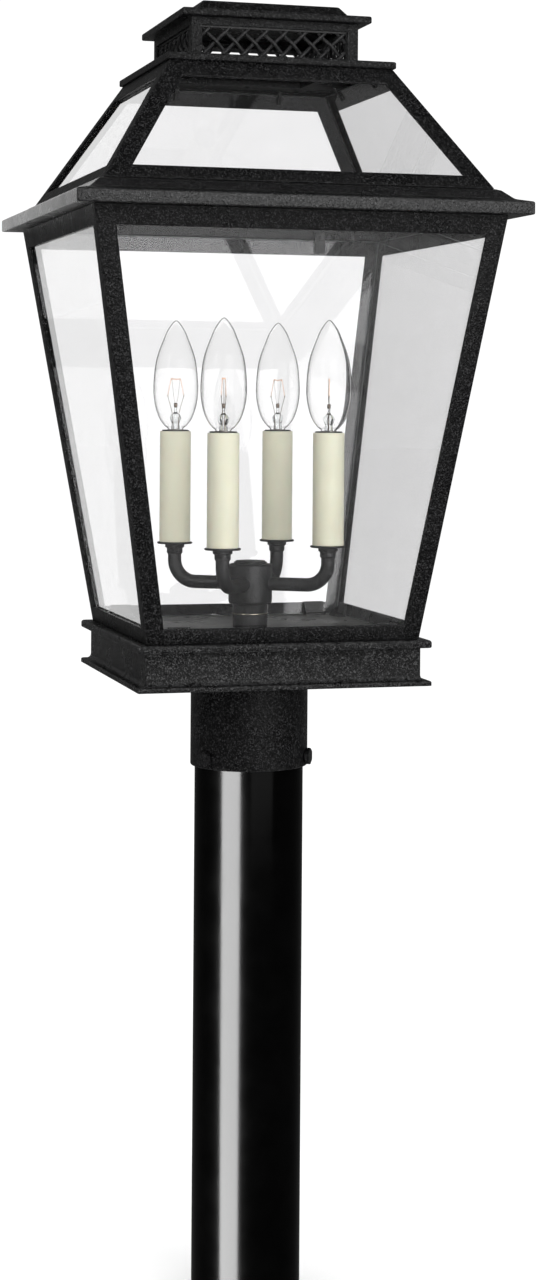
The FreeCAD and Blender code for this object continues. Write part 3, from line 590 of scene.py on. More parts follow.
def cast_skin_group() -> bpy.types.NodeTree:
    """Skin of rough cast and hammered metal under thin paint.

    Returns:
        A group that takes the size of its grain, its depth and its lumps, and gives the
        normal, a mask of painted glints on the crests of the grain, and slow mottling.
    """
    takes = {"Grain": 520.0, "Depth": 0.0006, "Lumps": 0.5}
    gives = {"Normal": "NodeSocketVector", "Fleck": "NodeSocketFloat", "Mottle": "NodeSocketFloat"}
    tree, given, out = open_group("cast_skin", takes, gives)
    size, depth, lumps = (given.outputs[name] for name in takes)
    place = tree.node("TexCoord").outputs["Object"]
    grain = tree.noise(place, size, 3.0, 0.6, 0.6)
    coarse = tree.noise(place, tree.times(size, 0.32), 2.0, 0.5, 0.3)
    fine = tree.noise(place, tree.times(size, 1.6), 2.0, 0.6, 0.4)
    cells = tree.node("TexVoronoi", {"Vector": place, "Scale": tree.times(size, 0.75)})
    pits = tree.times(tree.spread(cells.outputs["Distance"], 0.0, 0.45), 0.35)
    height = tree.plus(tree.plus(grain, pits), tree.times(coarse, lumps))
    bump = tree.node("Bump", {"Strength": 0.9, "Distance": depth, "Height": height})
    # painted glints: a mask where the grain and the fine noise both crest, standing in for
    # highlights on the wrinkles of the paint
    painted_glint = tree.times(tree.spread(fine, 0.46, 0.58), tree.spread(grain, 0.46, 0.58))
    mottle = tree.noise(place, 34.0, 4.0)
    tree.feed(out, {"Normal": bump.outputs[0], "Fleck": painted_glint, "Mottle": mottle})
    return tree.tree


def edge_wear_group() -> bpy.types.NodeTree:
    """Rubbing along rounded edges.

    Returns:
        A group that takes an amount and gives a mask, broken up by noise, from the bend
        attribute of the piece.
    """
    tree, given, out = open_group("edge_wear", {"Amount": 0.5}, {"Mask": "NodeSocketFloat"})
    place = tree.node("TexCoord").outputs["Object"]
    bend = tree.node("Attribute", attribute_name="bend", attribute_type="GEOMETRY").outputs["Fac"]
    broken = tree.spread(tree.noise(place, 300.0, 4.0, 0.65), 0.38, 0.68)
    tree.feed(out, {"Mask": tree.times(tree.times(bend, broken), given.outputs["Amount"])})
    return tree.tree


def smooth_drift_group() -> bpy.types.NodeTree:
    """Slow waves and fine dust of a smooth, sprayed or moulded surface.

    Returns:
        A group that takes the size of the waves and their depth, and gives the normal, slow
        mottling and a mask of fine specks.
    """
    takes = {"Waves": 60.0, "Depth": 0.0002}
    gives = {"Normal": "NodeSocketVector", "Mottle": "NodeSocketFloat", "Speck": "NodeSocketFloat"}
    tree, given, out = open_group("smooth_drift", takes, gives)
    place = tree.node("TexCoord").outputs["Object"]
    waves = tree.noise(place, given.outputs["Waves"], 2.0, 0.4)
    depth = given.outputs["Depth"]
    bump = tree.node("Bump", {"Strength": 0.6, "Distance": depth, "Height": waves})
    mottle = tree.noise(place, 45.0, 4.0)
    speck = tree.spread(tree.noise(place, 1500.0, 1.0), 0.70, 0.78)
    tree.feed(out, {"Normal": bump.outputs[0], "Mottle": mottle, "Speck": speck})
    return tree.tree


GROUPS: dict[str, Callable[[], bpy.types.NodeTree]] = {
    "cast_skin": cast_skin_group,
    "edge_wear": edge_wear_group,
    "smooth_drift": smooth_drift_group,
}


def shared(tree: Tree, name: str, values: dict[str, float]) -> bpy.types.Node:
    """Place a shared group in a material, building the group on first use.

    Args:
        tree: the material's tree.
        name: the group's name.
        values: its inputs.

    Returns:
        The group node.
    """
    group = bpy.data.node_groups.get(name) or GROUPS[name]()
    return tree.node("Group", values, node_tree=group)


def open_material(name: str) -> tuple[bpy.types.Material, Tree, bpy.types.Node]:
    """An empty node material with its Principled shader.

    Args:
        name: name of the material.

    Returns:
        The material, its tree and the shader.
    """
    material = bpy.data.materials.new(name)
    material.use_nodes = True
    shader = material.node_tree.nodes["Principled BSDF"]
    return material, Tree(material.node_tree), shader


def tint(red: float, green: float, blue: float) -> Colour:
    """An opaque colour."""
    return (red, green, blue, 1.0)


def grey(value: float) -> Colour:
    """A neutral colour."""
    return tint(value, value, value)


# The range in which the slow mottling of both skins mostly lies.
MOTTLED = (0.3, 0.7)


@dataclass(frozen=True)
class CastBlack:
    """Black paint over a fine hammered and pitted skin, rubbed grey along its edges, with painted
    glints on the crests of its grain.
    """

    name: str
    dark: Colour = tint(0.0014, 0.0014, 0.0015)
    # light is the colour of the rubbed edges and also of the painted glints on the crests of the
    # grain
    light: Colour = tint(0.034, 0.034, 0.035)
    paler: float = 1.6
    glint_strength: float = 0.8
    grain: float = 700.0
    depth: float = 0.00055
    lumps: float = 0.5
    wear: float = 0.5
    rough: tuple[float, float] = (0.24, 0.34)
    shine: float = 0.42

    def material(self) -> bpy.types.Material:
        """The finish as a material."""
        made, tree, shader = open_material(self.name)
        skin_of = {"Grain": self.grain, "Depth": self.depth, "Lumps": self.lumps}
        cast = shared(tree, "cast_skin", skin_of)
        worn = shared(tree, "edge_wear", {"Amount": self.wear}).outputs["Mask"]
        mottle = cast.outputs["Mottle"]
        pale = [part * self.paler for part in self.dark]
        tone = tree.blend(tree.spread(mottle, *MOTTLED), self.dark, pale)
        # painted glints: the crests of the grain turn to the light colour, standing in for
        # highlights
        tone = tree.blend(tree.times(cast.outputs["Fleck"], self.glint_strength), tone, self.light)
        looks = {
            "Base Color": tree.blend(worn, tone, self.light),
            "Roughness": tree.spread(mottle, *MOTTLED, *self.rough),
            "Normal": cast.outputs["Normal"],
            "Specular IOR Level": self.shine,
        }
        tree.feed(shader, looks)
        return made


@dataclass(frozen=True)
class Sprayed:
    """Smooth sprayed, moulded or drawn surface with faint drift in tone and gloss."""

    name: str
    colour: Colour
    shade: Colour
    rough: tuple[float, float]
    shine: float = 0.5
    metal: float = 0.0
    waves: float = 60.0
    depth: float = 0.0002
    speckled: float = 0.3
    wear: float = 0.0
    worn: Colour = grey(0.2)
    softness: float = 0.0
    soft_depth: float = 0.002

    def material(self) -> bpy.types.Material:
        """The finish as a material."""
        made, tree, shader = open_material(self.name)
        drift = shared(tree, "smooth_drift", {"Waves": self.waves, "Depth": self.depth})
        mottle = drift.outputs["Mottle"]
        tone = tree.blend(tree.spread(mottle, *MOTTLED), self.colour, self.shade)
        tone = tree.blend(tree.times(drift.outputs["Speck"], self.speckled), tone, self.shade)
        if self.wear:
            mask = shared(tree, "edge_wear", {"Amount": self.wear}).outputs["Mask"]
            tone = tree.blend(mask, tone, self.worn)
        looks = {
            "Base Color": tone,
            "Roughness": tree.spread(mottle, *MOTTLED, *self.rough),
            "Normal": drift.outputs["Normal"],
            "Specular IOR Level": self.shine,
            "Metallic": self.metal,
            "Subsurface Weight": self.softness,
            "Subsurface Scale": self.soft_depth,
        }
        tree.feed(shader, looks)
        return made


@dataclass(frozen=True)
class Glass:
    """Clear or ground glass that lets the light of lamps through."""

    name: str
    colour: Colour = tint(0.968, 0.966, 0.970)
    shade: Colour = tint(0.955, 0.954, 0.957)
    shadow: Colour = grey(0.93)
    rough: tuple[float, float] = (0.0, 0.004)
    waves: float = 14.0
    depth: float = 0.00003
    index: float = 1.5

    def material(self) -> bpy.types.Material:
        """The finish as a material."""
        made, tree, shader = open_material(self.name)
        drift = shared(tree, "smooth_drift", {"Waves": self.waves, "Depth": self.depth})
        mottle = drift.outputs["Mottle"]
        looks = {
            "Base Color": tree.blend(tree.spread(mottle, 0.35, 0.65), self.colour, self.shade),
            "Roughness": tree.spread(mottle, *MOTTLED, *self.rough),
            "Normal": drift.outputs["Normal"],
            "Metallic": 0.0,
            "Transmission Weight": 1.0,
            "IOR": self.index,
        }
        tree.feed(shader, looks)
        in_shadow = tree.node("LightPath").outputs["Is Shadow Ray"]
        clear = tree.node("BsdfTransparent", {"Color": self.shadow})
        both = tree.node("MixShader", {0: in_shadow, 1: shader.outputs[0], 2: clear.outputs[0]})
        tree.feed(made.node_tree.nodes["Material Output"], {"Surface": both.outputs[0]})
        return made


class Finishes:
    """Every finish of the lantern, made once."""

    def __init__(self) -> None:
        """Make the cast, the smooth and the glass finishes."""
        self.cast = CastBlack(
            "weathered_black", light=tint(0.036, 0.036, 0.037), shine=0.15
        ).material()
        # lit copy of the black paint for the base: its glints are painted paler so that the base
        # block looks more brightly lit
        self.cast_base_lit = CastBlack(
            "weathered_base", light=tint(0.062, 0.062, 0.063), shine=0.18
        ).material()
        self.cast_eave = CastBlack("weathered_eave", shine=0.37).material()
        self.lamp_iron = CastBlack(
            "lamp_iron",
            dark=tint(0.004, 0.004, 0.0042),
            light=tint(0.045, 0.045, 0.046),
            grain=420.0,
            depth=0.0004,
            lumps=0.9,
            wear=0.4,
            rough=(0.36, 0.5),
            shine=0.36,
        ).material()
        self.fastener = CastBlack(
            "dark_fasteners",
            dark=grey(0.010),
            light=grey(0.07),
            grain=900.0,
            depth=0.0003,
            lumps=0.3,
            wear=0.7,
            rough=(0.35, 0.5),
            shine=0.4,
        ).material()
        self.wire = CastBlack(
            "woven_wire",
            dark=tint(0.008, 0.008, 0.0085),
            light=grey(0.07),
            grain=1100.0,
            depth=0.0002,
            lumps=0.4,
            wear=0.0,
            rough=(0.4, 0.55),
            shine=0.4,
        ).material()
        self.make_smooth()
        self.make_glass()

    def make_smooth(self) -> None:
        """Make the sprayed, moulded and drawn finishes."""
        self.floor_paint = Sprayed(
            "floor_paint",
            tint(0.095, 0.095, 0.091),
            tint(0.07, 0.07, 0.067),
            rough=(0.26, 0.34),
            waves=30.0,
            depth=0.00003,
        ).material()
        self.post_gloss = Sprayed(
            "gloss_black_post",
            grey(0.0004),
            grey(0.0009),
            rough=(0.15, 0.19),
            shine=0.04,
            waves=22.0,
            depth=0.00012,
            wear=0.3,
            worn=grey(0.05),
        ).material()
        self.ivory = Sprayed(
            "ivory_sleeve",
            tint(0.61, 0.60, 0.47),
            tint(0.56, 0.55, 0.43),
            rough=(0.42, 0.52),
            shine=0.3,
            waves=90.0,
            depth=0.00015,
            softness=0.12,
        ).material()
        dark, pale = tint(0.012, 0.011, 0.010), tint(0.022, 0.020, 0.018)
        self.phenolic = Sprayed("socket_black", dark, pale, (0.3, 0.42), wear=0.5).material()
        # the filament's pale orange is a painted glow; the bulbs give no light and a bare filament
        # is grey
        painted_glow, ember = tint(0.95, 0.62, 0.42), tint(0.85, 0.50, 0.32)
        self.filament = Sprayed("filament", painted_glow, ember, (0.4, 0.6), waves=400.0).material()
        metals = {
            "bright_ring": (tint(0.86, 0.80, 0.66), tint(0.66, 0.60, 0.48), (0.16, 0.3), 200.0),
            "plated_steel": (tint(0.58, 0.57, 0.54), tint(0.42, 0.41, 0.39), (0.22, 0.38), 300.0),
            "bulb_base_metal": (tint(0.74, 0.72, 0.67), tint(0.6, 0.58, 0.54), (0.2, 0.34), 260.0),
            "lead_wire": (tint(0.34, 0.27, 0.22), tint(0.22, 0.18, 0.15), (0.25, 0.4), 400.0),
        }
        self.bright, self.steel, self.bulb_cap, self.lead = (
            Sprayed(name, colour, shade, rough, metal=1.0, waves=waves).material()
            for name, (colour, shade, rough, waves) in metals.items()
        )

    def make_glass(self) -> None:
        """Make the glass finishes."""
        self.pane = Glass("clear_glass").material()
        self.ground = Glass(
            "ground_edge",
            tint(0.78, 0.90, 0.87),
            tint(0.66, 0.80, 0.77),
            rough=(0.28, 0.4),
            waves=500.0,
            depth=0.0002,
        ).material()
        self.bulb = Glass(
            "bulb_glass",
            tint(0.998, 0.998, 0.997),
            tint(0.99, 0.99, 0.988),
            waves=70.0,
            depth=0.00006,
            index=1.2,
        ).material()
        self.stem = Glass(
            "stem_glass",
            tint(0.96, 0.97, 0.97),
            tint(0.92, 0.94, 0.94),
            rough=(0.01, 0.05),
            waves=150.0,
        ).material()

# ---------------------------------------------------------------------------------------------
# Leaning frames, shared by the glazed body and the roof
# ---------------------------------------------------------------------------------------------


@dataclass
class LeaningFrame:
    """Four leaning faces of angle bars, flat rails and panes.

    foot and top are the levels of its ends and foot_half and top_half its half-widths there.
    leg and wall size the angle bars. upper_rail and lower_rail are the inner edges of the
    rails, and pane_gaps is how far a pane stops short of the corner, on the front and back
    faces and then on the sides.
    """

    foot: float
    foot_half: float
    top: float
    top_half: float
    leg: float
    wall: float
    ease: float
    upper_rail: float
    lower_rail: float
    lower_soft: float
    pane_foot: float
    pane_top: float
    pane_thick: float
    pane_gaps: tuple[float, float]
    nose: float = 1.1
    rail_soft: float = 0.6
    tuck: float = 0.4
    flush: float = 0.03
    bevel: float = 0.35
    lap: float = 0.2

    def build(
        self, finish: Finishes, bar: tuple[str, str], rails: str, pane: tuple[str, str]
    ) -> None:
        """Make the corner bars, the rails and the panes.

        Args:
            finish: the lantern's finishes.
            bar: first words of the corner bars' pieces and of their nodes.
            rails: first word of the rails' pieces and nodes.
            pane: first words of the panes' pieces and of their nodes.
        """
        for corner in Corner:
            name = corner.name.lower()
            leg = self.corner_bar().turned(corner.value)
            fitted(f"{bar[0]}_{name}", f"{bar[1]}_{name}", leg, finish.cast)
        upper = on_each_face(self.rail(self.upper_rail, self.top, self.rail_soft, 0.0))
        fitted(f"{rails}_upper_rails", f"{rails}_top_rails", upper, finish.cast)
        lower = on_each_face(self.rail(self.foot, self.lower_rail, self.lower_soft, self.rail_soft))
        fitted(f"{rails}_lower_rails", f"{rails}_bottom_rails", lower, finish.cast)
        for face in Face:
            name = face.name.lower()
            gap = self.pane_gaps[face in (Face.LEFT, Face.RIGHT)]
            glass = self.pane(gap).turned(face.value)
            names = f"{pane[0]}_{name}", f"{pane[1]}_{name}"
            fitted(*names, glass, finish.pane, finish.ground, crease=20.0)

    def half(self, level: float | np.ndarray) -> float | np.ndarray:
        """Half-width of the outside at a height: a straight line from foot to top."""
        share = (level - self.foot) / (self.top - self.foot)
        return self.foot_half + (self.top_half - self.foot_half) * share

    def corner_bar(self) -> Surface:
        """Angle bar along the leaning corner at +X +Y.

        The section is an L whose outer edges are arcs. Its place follows the half-width of
        the face at each level, and it draws in by a quarter round at the lower end.

        Returns:
            The bar's surface.
        """
        t = np.linspace(0.0, math.pi / 2, ARC_STEPS)
        levels = np.concatenate([self.foot + self.ease * (1 - np.cos(t)), [self.top]])
        inset = np.concatenate([self.ease * (1 - np.sin(t)), [0.0]])
        corners = [
            (-self.leg, 0.0, self.ease),
            (0.0, 0.0, self.nose),
            (0.0, -self.leg, self.ease),
            (-self.wall, -self.leg, 0.2),
            (-self.wall, -self.wall, 0.3),
            (-self.leg, -self.wall, 0.2),
        ]
        section, bend = rounded(corners)
        out = (self.half(levels) - inset)[:, None]
        x, y = section[:, 0] + out, section[:, 1] + out
        z = np.broadcast_to(levels[:, None], x.shape)
        drawn_in = (inset > 0.01) & (inset < self.ease * 0.9)
        edge = np.maximum(bend[None, :], drawn_in[:, None] * 1.0)
        return skin(np.stack([x, y, z], axis=-1), edge).moved(z=LEVEL)

    def rail(self, low: float, high: float, soft_low: float, soft_high: float) -> Surface:
        """Flat bar across the face at +Y, between the legs of the corner bars.

        Its section lies in the plane of depth and height: the outside leans with the face. The
        ends follow the slope of the legs and tuck just under their rounded edges.

        Args:
            low: lowest level.
            high: highest level.
            soft_low: radius of the outer lower edge.
            soft_high: radius of the outer upper edge.

        Returns:
            The rail's surface.
        """
        corners = [
            (self.half(low) - self.flush, low, soft_low),
            (self.half(high) - self.flush, high, soft_high),
            (self.half(high) - self.wall + self.flush, high, 0.15),
            (self.half(low) - self.wall + self.flush, low, 0.15),
        ]
        section, bend = rounded(corners)
        reach = self.half(section[:, 1]) - self.leg + self.tuck
        side = np.array([-1.0, 1.0])[:, None]
        depth, level = (np.broadcast_to(section[:, i], (2, len(section))) for i in (0, 1))
        return skin(np.stack([side * reach, depth, level], axis=-1), bend[None, :]).moved(z=LEVEL)

    def pane(self, gap: float) -> Surface:
        """Glass pane behind the bars of the face at +Y, with ground edges.

        It is four outlines one behind the other: the two at the faces are drawn in by the
        width of the ground bevel.

        Args:
            gap: how far the pane stops short of the corner on each side.

        Returns:
            The pane, whose faces are material 0 and whose edges are material 1.
        """
        bevel, thick = self.bevel, self.pane_thick
        depth = np.array([0.0, bevel, thick - bevel, thick])
        inset = np.array([bevel, 0.0, 0.0, bevel])[:, None]
        level = np.array([self.pane_foot, self.pane_foot, self.pane_top, self.pane_top])
        side = np.array([-1.0, 1.0, 1.0, -1.0])
        rise = np.array([1.0, 1.0, -1.0, -1.0])
        z = level + rise * inset
        x = side * (self.half(z) - gap - inset)
        y = self.half(z) - self.wall - self.lap - depth[:, None]
        made = skin(np.stack([x, y, z], axis=-1))
        made.finish = [1] * (len(made.faces) - 2) + [0, 0]
        return made.moved(z=LEVEL)


# ---------------------------------------------------------------------------------------------
# Sub-assemblies
# ---------------------------------------------------------------------------------------------


@dataclass
class Post:
    """Round gloss post and the fitter that clamps onto it."""

    radius: float = 38.1
    wall: float = 3.0
    fitter_radius: float = 41.2
    fitter_bore: float = 38.4
    screw_rise: float = 7.1
    screw_radius: float = 3.0
    screw_flats: float = 10.0
    screw_gap: float = 0.4
    head_high: float = 3.2
    headings: dict[str, float] = field(
        default_factory=lambda: {"left": -150.0, "right": -30.0, "back": 90.0}
    )

    def build(self, finish: Finishes) -> None:
        """Make the post, the fitter and its three screws."""
        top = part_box("post")[1].z / MM
        inner = self.radius - self.wall
        corners = [
            (self.radius, 0.0, 0.5),
            (self.radius, top, 1.0),
            (inner, top, 0.8),
            (inner, 0.0, 0.4),
        ]
        fitted("post_tube", "post", lathe(*rounded(corners), sides=160), finish.post_gloss)
        foot, head = (corner.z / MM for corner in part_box("post_fitter"))
        corners = [
            (self.fitter_radius, foot, 1.1),
            (self.fitter_radius, head, 0.3),
            (self.fitter_bore, head, 0.3),
            (self.fitter_bore, foot, 0.5),
        ]
        sleeve = mesh_of("fitter_sleeve", lathe(*rounded(corners), sides=128), [finish.cast])
        hole = self.hole().moved(z=foot + self.screw_rise)
        drill(sleeve, joined([hole.turned(heading) for heading in self.headings.values()]))
        fit(sleeve, "post_fitter")
        for side, heading in self.headings.items():
            screw = self.screw().turned(heading).moved(z=foot + self.screw_rise)
            names = f"hex_screw_{side}", f"set_screw_{side}"
            fitted(*names, screw, finish.cast, crease=25.0)

    def hole(self) -> Surface:
        """Rod along +X that cuts one screw hole through the fitter's wall."""
        radius, inside, outside = self.screw_radius + 0.05, 30.0, 50.0
        ends = [(0.0, inside), (radius, inside), (radius, outside), (0.0, outside)]
        return lathe(np.array(ends), sides=32, closed=False).laid().turned(-90)

    def screw(self) -> Surface:
        """Set screw along +X.

        Round the head, the distance to the hexagon is half the flats over cos of the angle
        from the middle of the flat; a cone cuts the corners off its outer face. The shank
        carries a thread: its radius follows a sine of the length plus the angle.

        Returns:
            The screw's surface.
        """
        t, rings = circle(96), 14
        flat = (t + math.pi / 6) % (math.pi / 3) - math.pi / 6
        hexagon = self.screw_flats / 2 / np.cos(flat)
        start = self.fitter_radius + self.screw_gap
        tip = start + self.head_high
        along = np.array([start, start, *np.linspace(start + 0.15, tip, rings), tip, tip])
        taper = np.interp(np.linspace(0, 1, rings), [0, 0.62, 1], [9.0, 7.2, 5.5])
        cone = np.array([0.0, 5.7, *taper, 3.2, 0.0])
        head = np.minimum(hexagon, cone[:, None])
        length = np.linspace(self.radius + 0.4, start, 60)
        thread = self.screw_radius - 0.18 + 0.16 * np.sin(length[:, None] * 2 * math.pi - t)
        thread[0] = 0.0
        radius, axis = np.concatenate([thread, head]), np.concatenate([length, along])
        y, z = radius * np.cos(t), radius * np.sin(t)
        points = np.stack([np.broadcast_to(axis[:, None], y.shape), y, z], axis=-1)
        worn = np.interp(np.arange(len(along)), [0, 12, 15, 17], [0, 0.4, 1, 0])
        return skin(points, np.concatenate([np.zeros(len(length)), worn])[:, None]).uncapped()


@dataclass
class Base:
    """Stepped square base with a coved foot, and the floor plate on it."""

    half: float = 95.2
    band: float = 101.3
    height: float = 31.0
    wall: float = 3.0
    foot_high: float = 3.4
    band_high: float = 5.4
    tube_hole: float = 5.05

    def build(self, finish: Finishes) -> None:
        """Make the casting and dress the plate and screws in it."""
        inner, top = self.half - self.wall, self.height
        shelf = top - self.band_high
        corners = [
            (inner, 0.0, 0.5),
            (self.band, 0.0, 0.5),
            (self.band, self.foot_high, 1.2),
            (self.half, self.foot_high, 3.4),
            (self.half, shelf, 0.4),
            (self.band, shelf, 1.2),
            (self.band, top, 1.9),
            (self.tube_hole, top, 0.0),
            (self.tube_hole, top - self.wall, 0.0),
            (inner, top - self.wall, 1.0),
        ]
        fitted("base_moulding", "base_casting", square_ring(corners, 1.0), finish.cast_base_lit)
        paint(finish.floor_paint, "floor_plate")
        paint(finish.fastener, "base_screws")


@dataclass
class GlazedBody:
    """Tapering glazed body with its clips."""

    shape: LeaningFrame = field(
        default_factory=lambda: LeaningFrame(
            foot=31.0,
            foot_half=94.2,
            top=316.8,
            top_half=139.9,
            leg=12.75,
            wall=2.2,
            ease=0.7,
            upper_rail=303.7,
            lower_rail=41.5,
            lower_soft=0.9,
            pane_foot=33.2,
            pane_top=315.6,
            pane_thick=2.5,
            pane_gaps=(2.6, 5.3),
        )
    )
    knob_reach: float = 88.0
    knob_level: float = 318.2
    knob_radius: float = 3.8
    knob_thick: float = 4.5
    knob_depth: float = 7.1
    shank_radius: float = 1.2
    ridges: int = 28
    ridge_share: float = 0.035

    def build(self, finish: Finishes) -> None:
        """Make the bars, rails, panes, clips and thumb screws."""
        self.shape.build(finish, ("body_bar", "corner_post"), "body", ("body_pane", "side_glass"))
        softened("foot_clips", "foot_glass_clips", finish.fastener, 0.35)
        softened("top_clips", "top_glass_clips", finish.fastener, 0.3)
        knobs = on_each_face(self.thumb_screw())
        fitted("thumb_screws", "clip_thumb_screws", knobs, finish.fastener, crease=30.0)

    def thumb_screw(self) -> Surface:
        """Screw of the clip at +Y: a shank and a knurled head.

        The head's radius is drawn in by a share of (1 - cos of 28 times the angle) / 2.

        Returns:
            The screw's surface.
        """
        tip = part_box("clip_thumb_screws")[1].y / MM
        face = self.shape.top_half - self.knob_depth
        back = face - self.knob_thick
        corners = [
            (self.shank_radius, tip, 0.2),
            (self.knob_radius, back, 0.7),
            (self.knob_radius, face, 0.4),
            (self.shank_radius, face, 0.0),
        ]
        arcs, bends = (part.reshape(len(corners), ARC_STEPS, -1) for part in rounded(corners))
        end, rear, front, neck = arcs
        outline = [[(0.0, tip)], end, neck, front[::-1], rear[::-1], [(0.0, back)]]
        end, rear, front, neck = bends[..., 0]
        bend = np.concatenate([[0.0], end, neck, front[::-1], rear[::-1], [0.0]])
        knob = lathe(np.concatenate(outline), bend, sides=112, closed=False)
        x, y = knob.points[:, 0], knob.points[:, 1]
        on_head = np.hypot(x, y) > self.knob_radius * 0.9
        wave = 0.5 - 0.5 * np.cos(self.ridges * np.arctan2(y, x))
        knob.points[:, :2] *= (1 - self.ridge_share * on_head * wave)[:, None]
        return knob.laid().moved(x=self.knob_reach, z=self.knob_level + LEVEL)


@dataclass
class Eave:
    """Fascia and sloping moulding round the top of the body."""

    half: float = 153.6
    inner: float = 137.7
    foot: float = 316.8
    fascia: float = 325.4
    top: float = 334.6
    lip: float = 24.0
    seat: float = 7.0

    def build(self, finish: Finishes) -> None:
        """Make the moulding."""
        corners = [
            (self.inner, self.foot, 0.4),
            (self.half, self.foot, 0.9),
            (self.half, self.fascia, 1.3),
            (self.half - 10.3, self.fascia + 2.2, 6.0),
            (self.half - 17.4, self.top - 1.0, 2.0),
            (self.half - 20.6, self.top, 1.0),
            (self.half - self.lip, self.top, 0.3),
            (self.half - self.lip, self.top - 2.6, 0.3),
            (self.inner, self.foot + self.seat, 0.4),
        ]
        fitted("eave_cornice", "eave_moulding", square_ring(corners, 1.0), finish.cast_eave)


@dataclass
class Roof:
    """Pitched glazed roof that lifts off with the vent on it."""

    shape: LeaningFrame = field(
        default_factory=lambda: LeaningFrame(
            foot=334.8,
            foot_half=132.6,
            top=419.2,
            top_half=77.9,
            leg=14.5,
            wall=2.62,
            ease=0.6,
            upper_rail=407.5,
            lower_rail=343.5,
            lower_soft=0.5,
            pane_foot=336.5,
            pane_top=417.2,
            pane_thick=2.98,
            pane_gaps=(3.12, 6.3),
        )
    )

    def build(self, finish: Finishes) -> None:
        """Make the hips, rails, panes and clips."""
        self.shape.build(finish, ("hip_bar", "roof_hip"), "roof", ("roof_pane", "roof_glass"))
        softened("roof_clips", "roof_glass_clips", finish.fastener, 0.3)


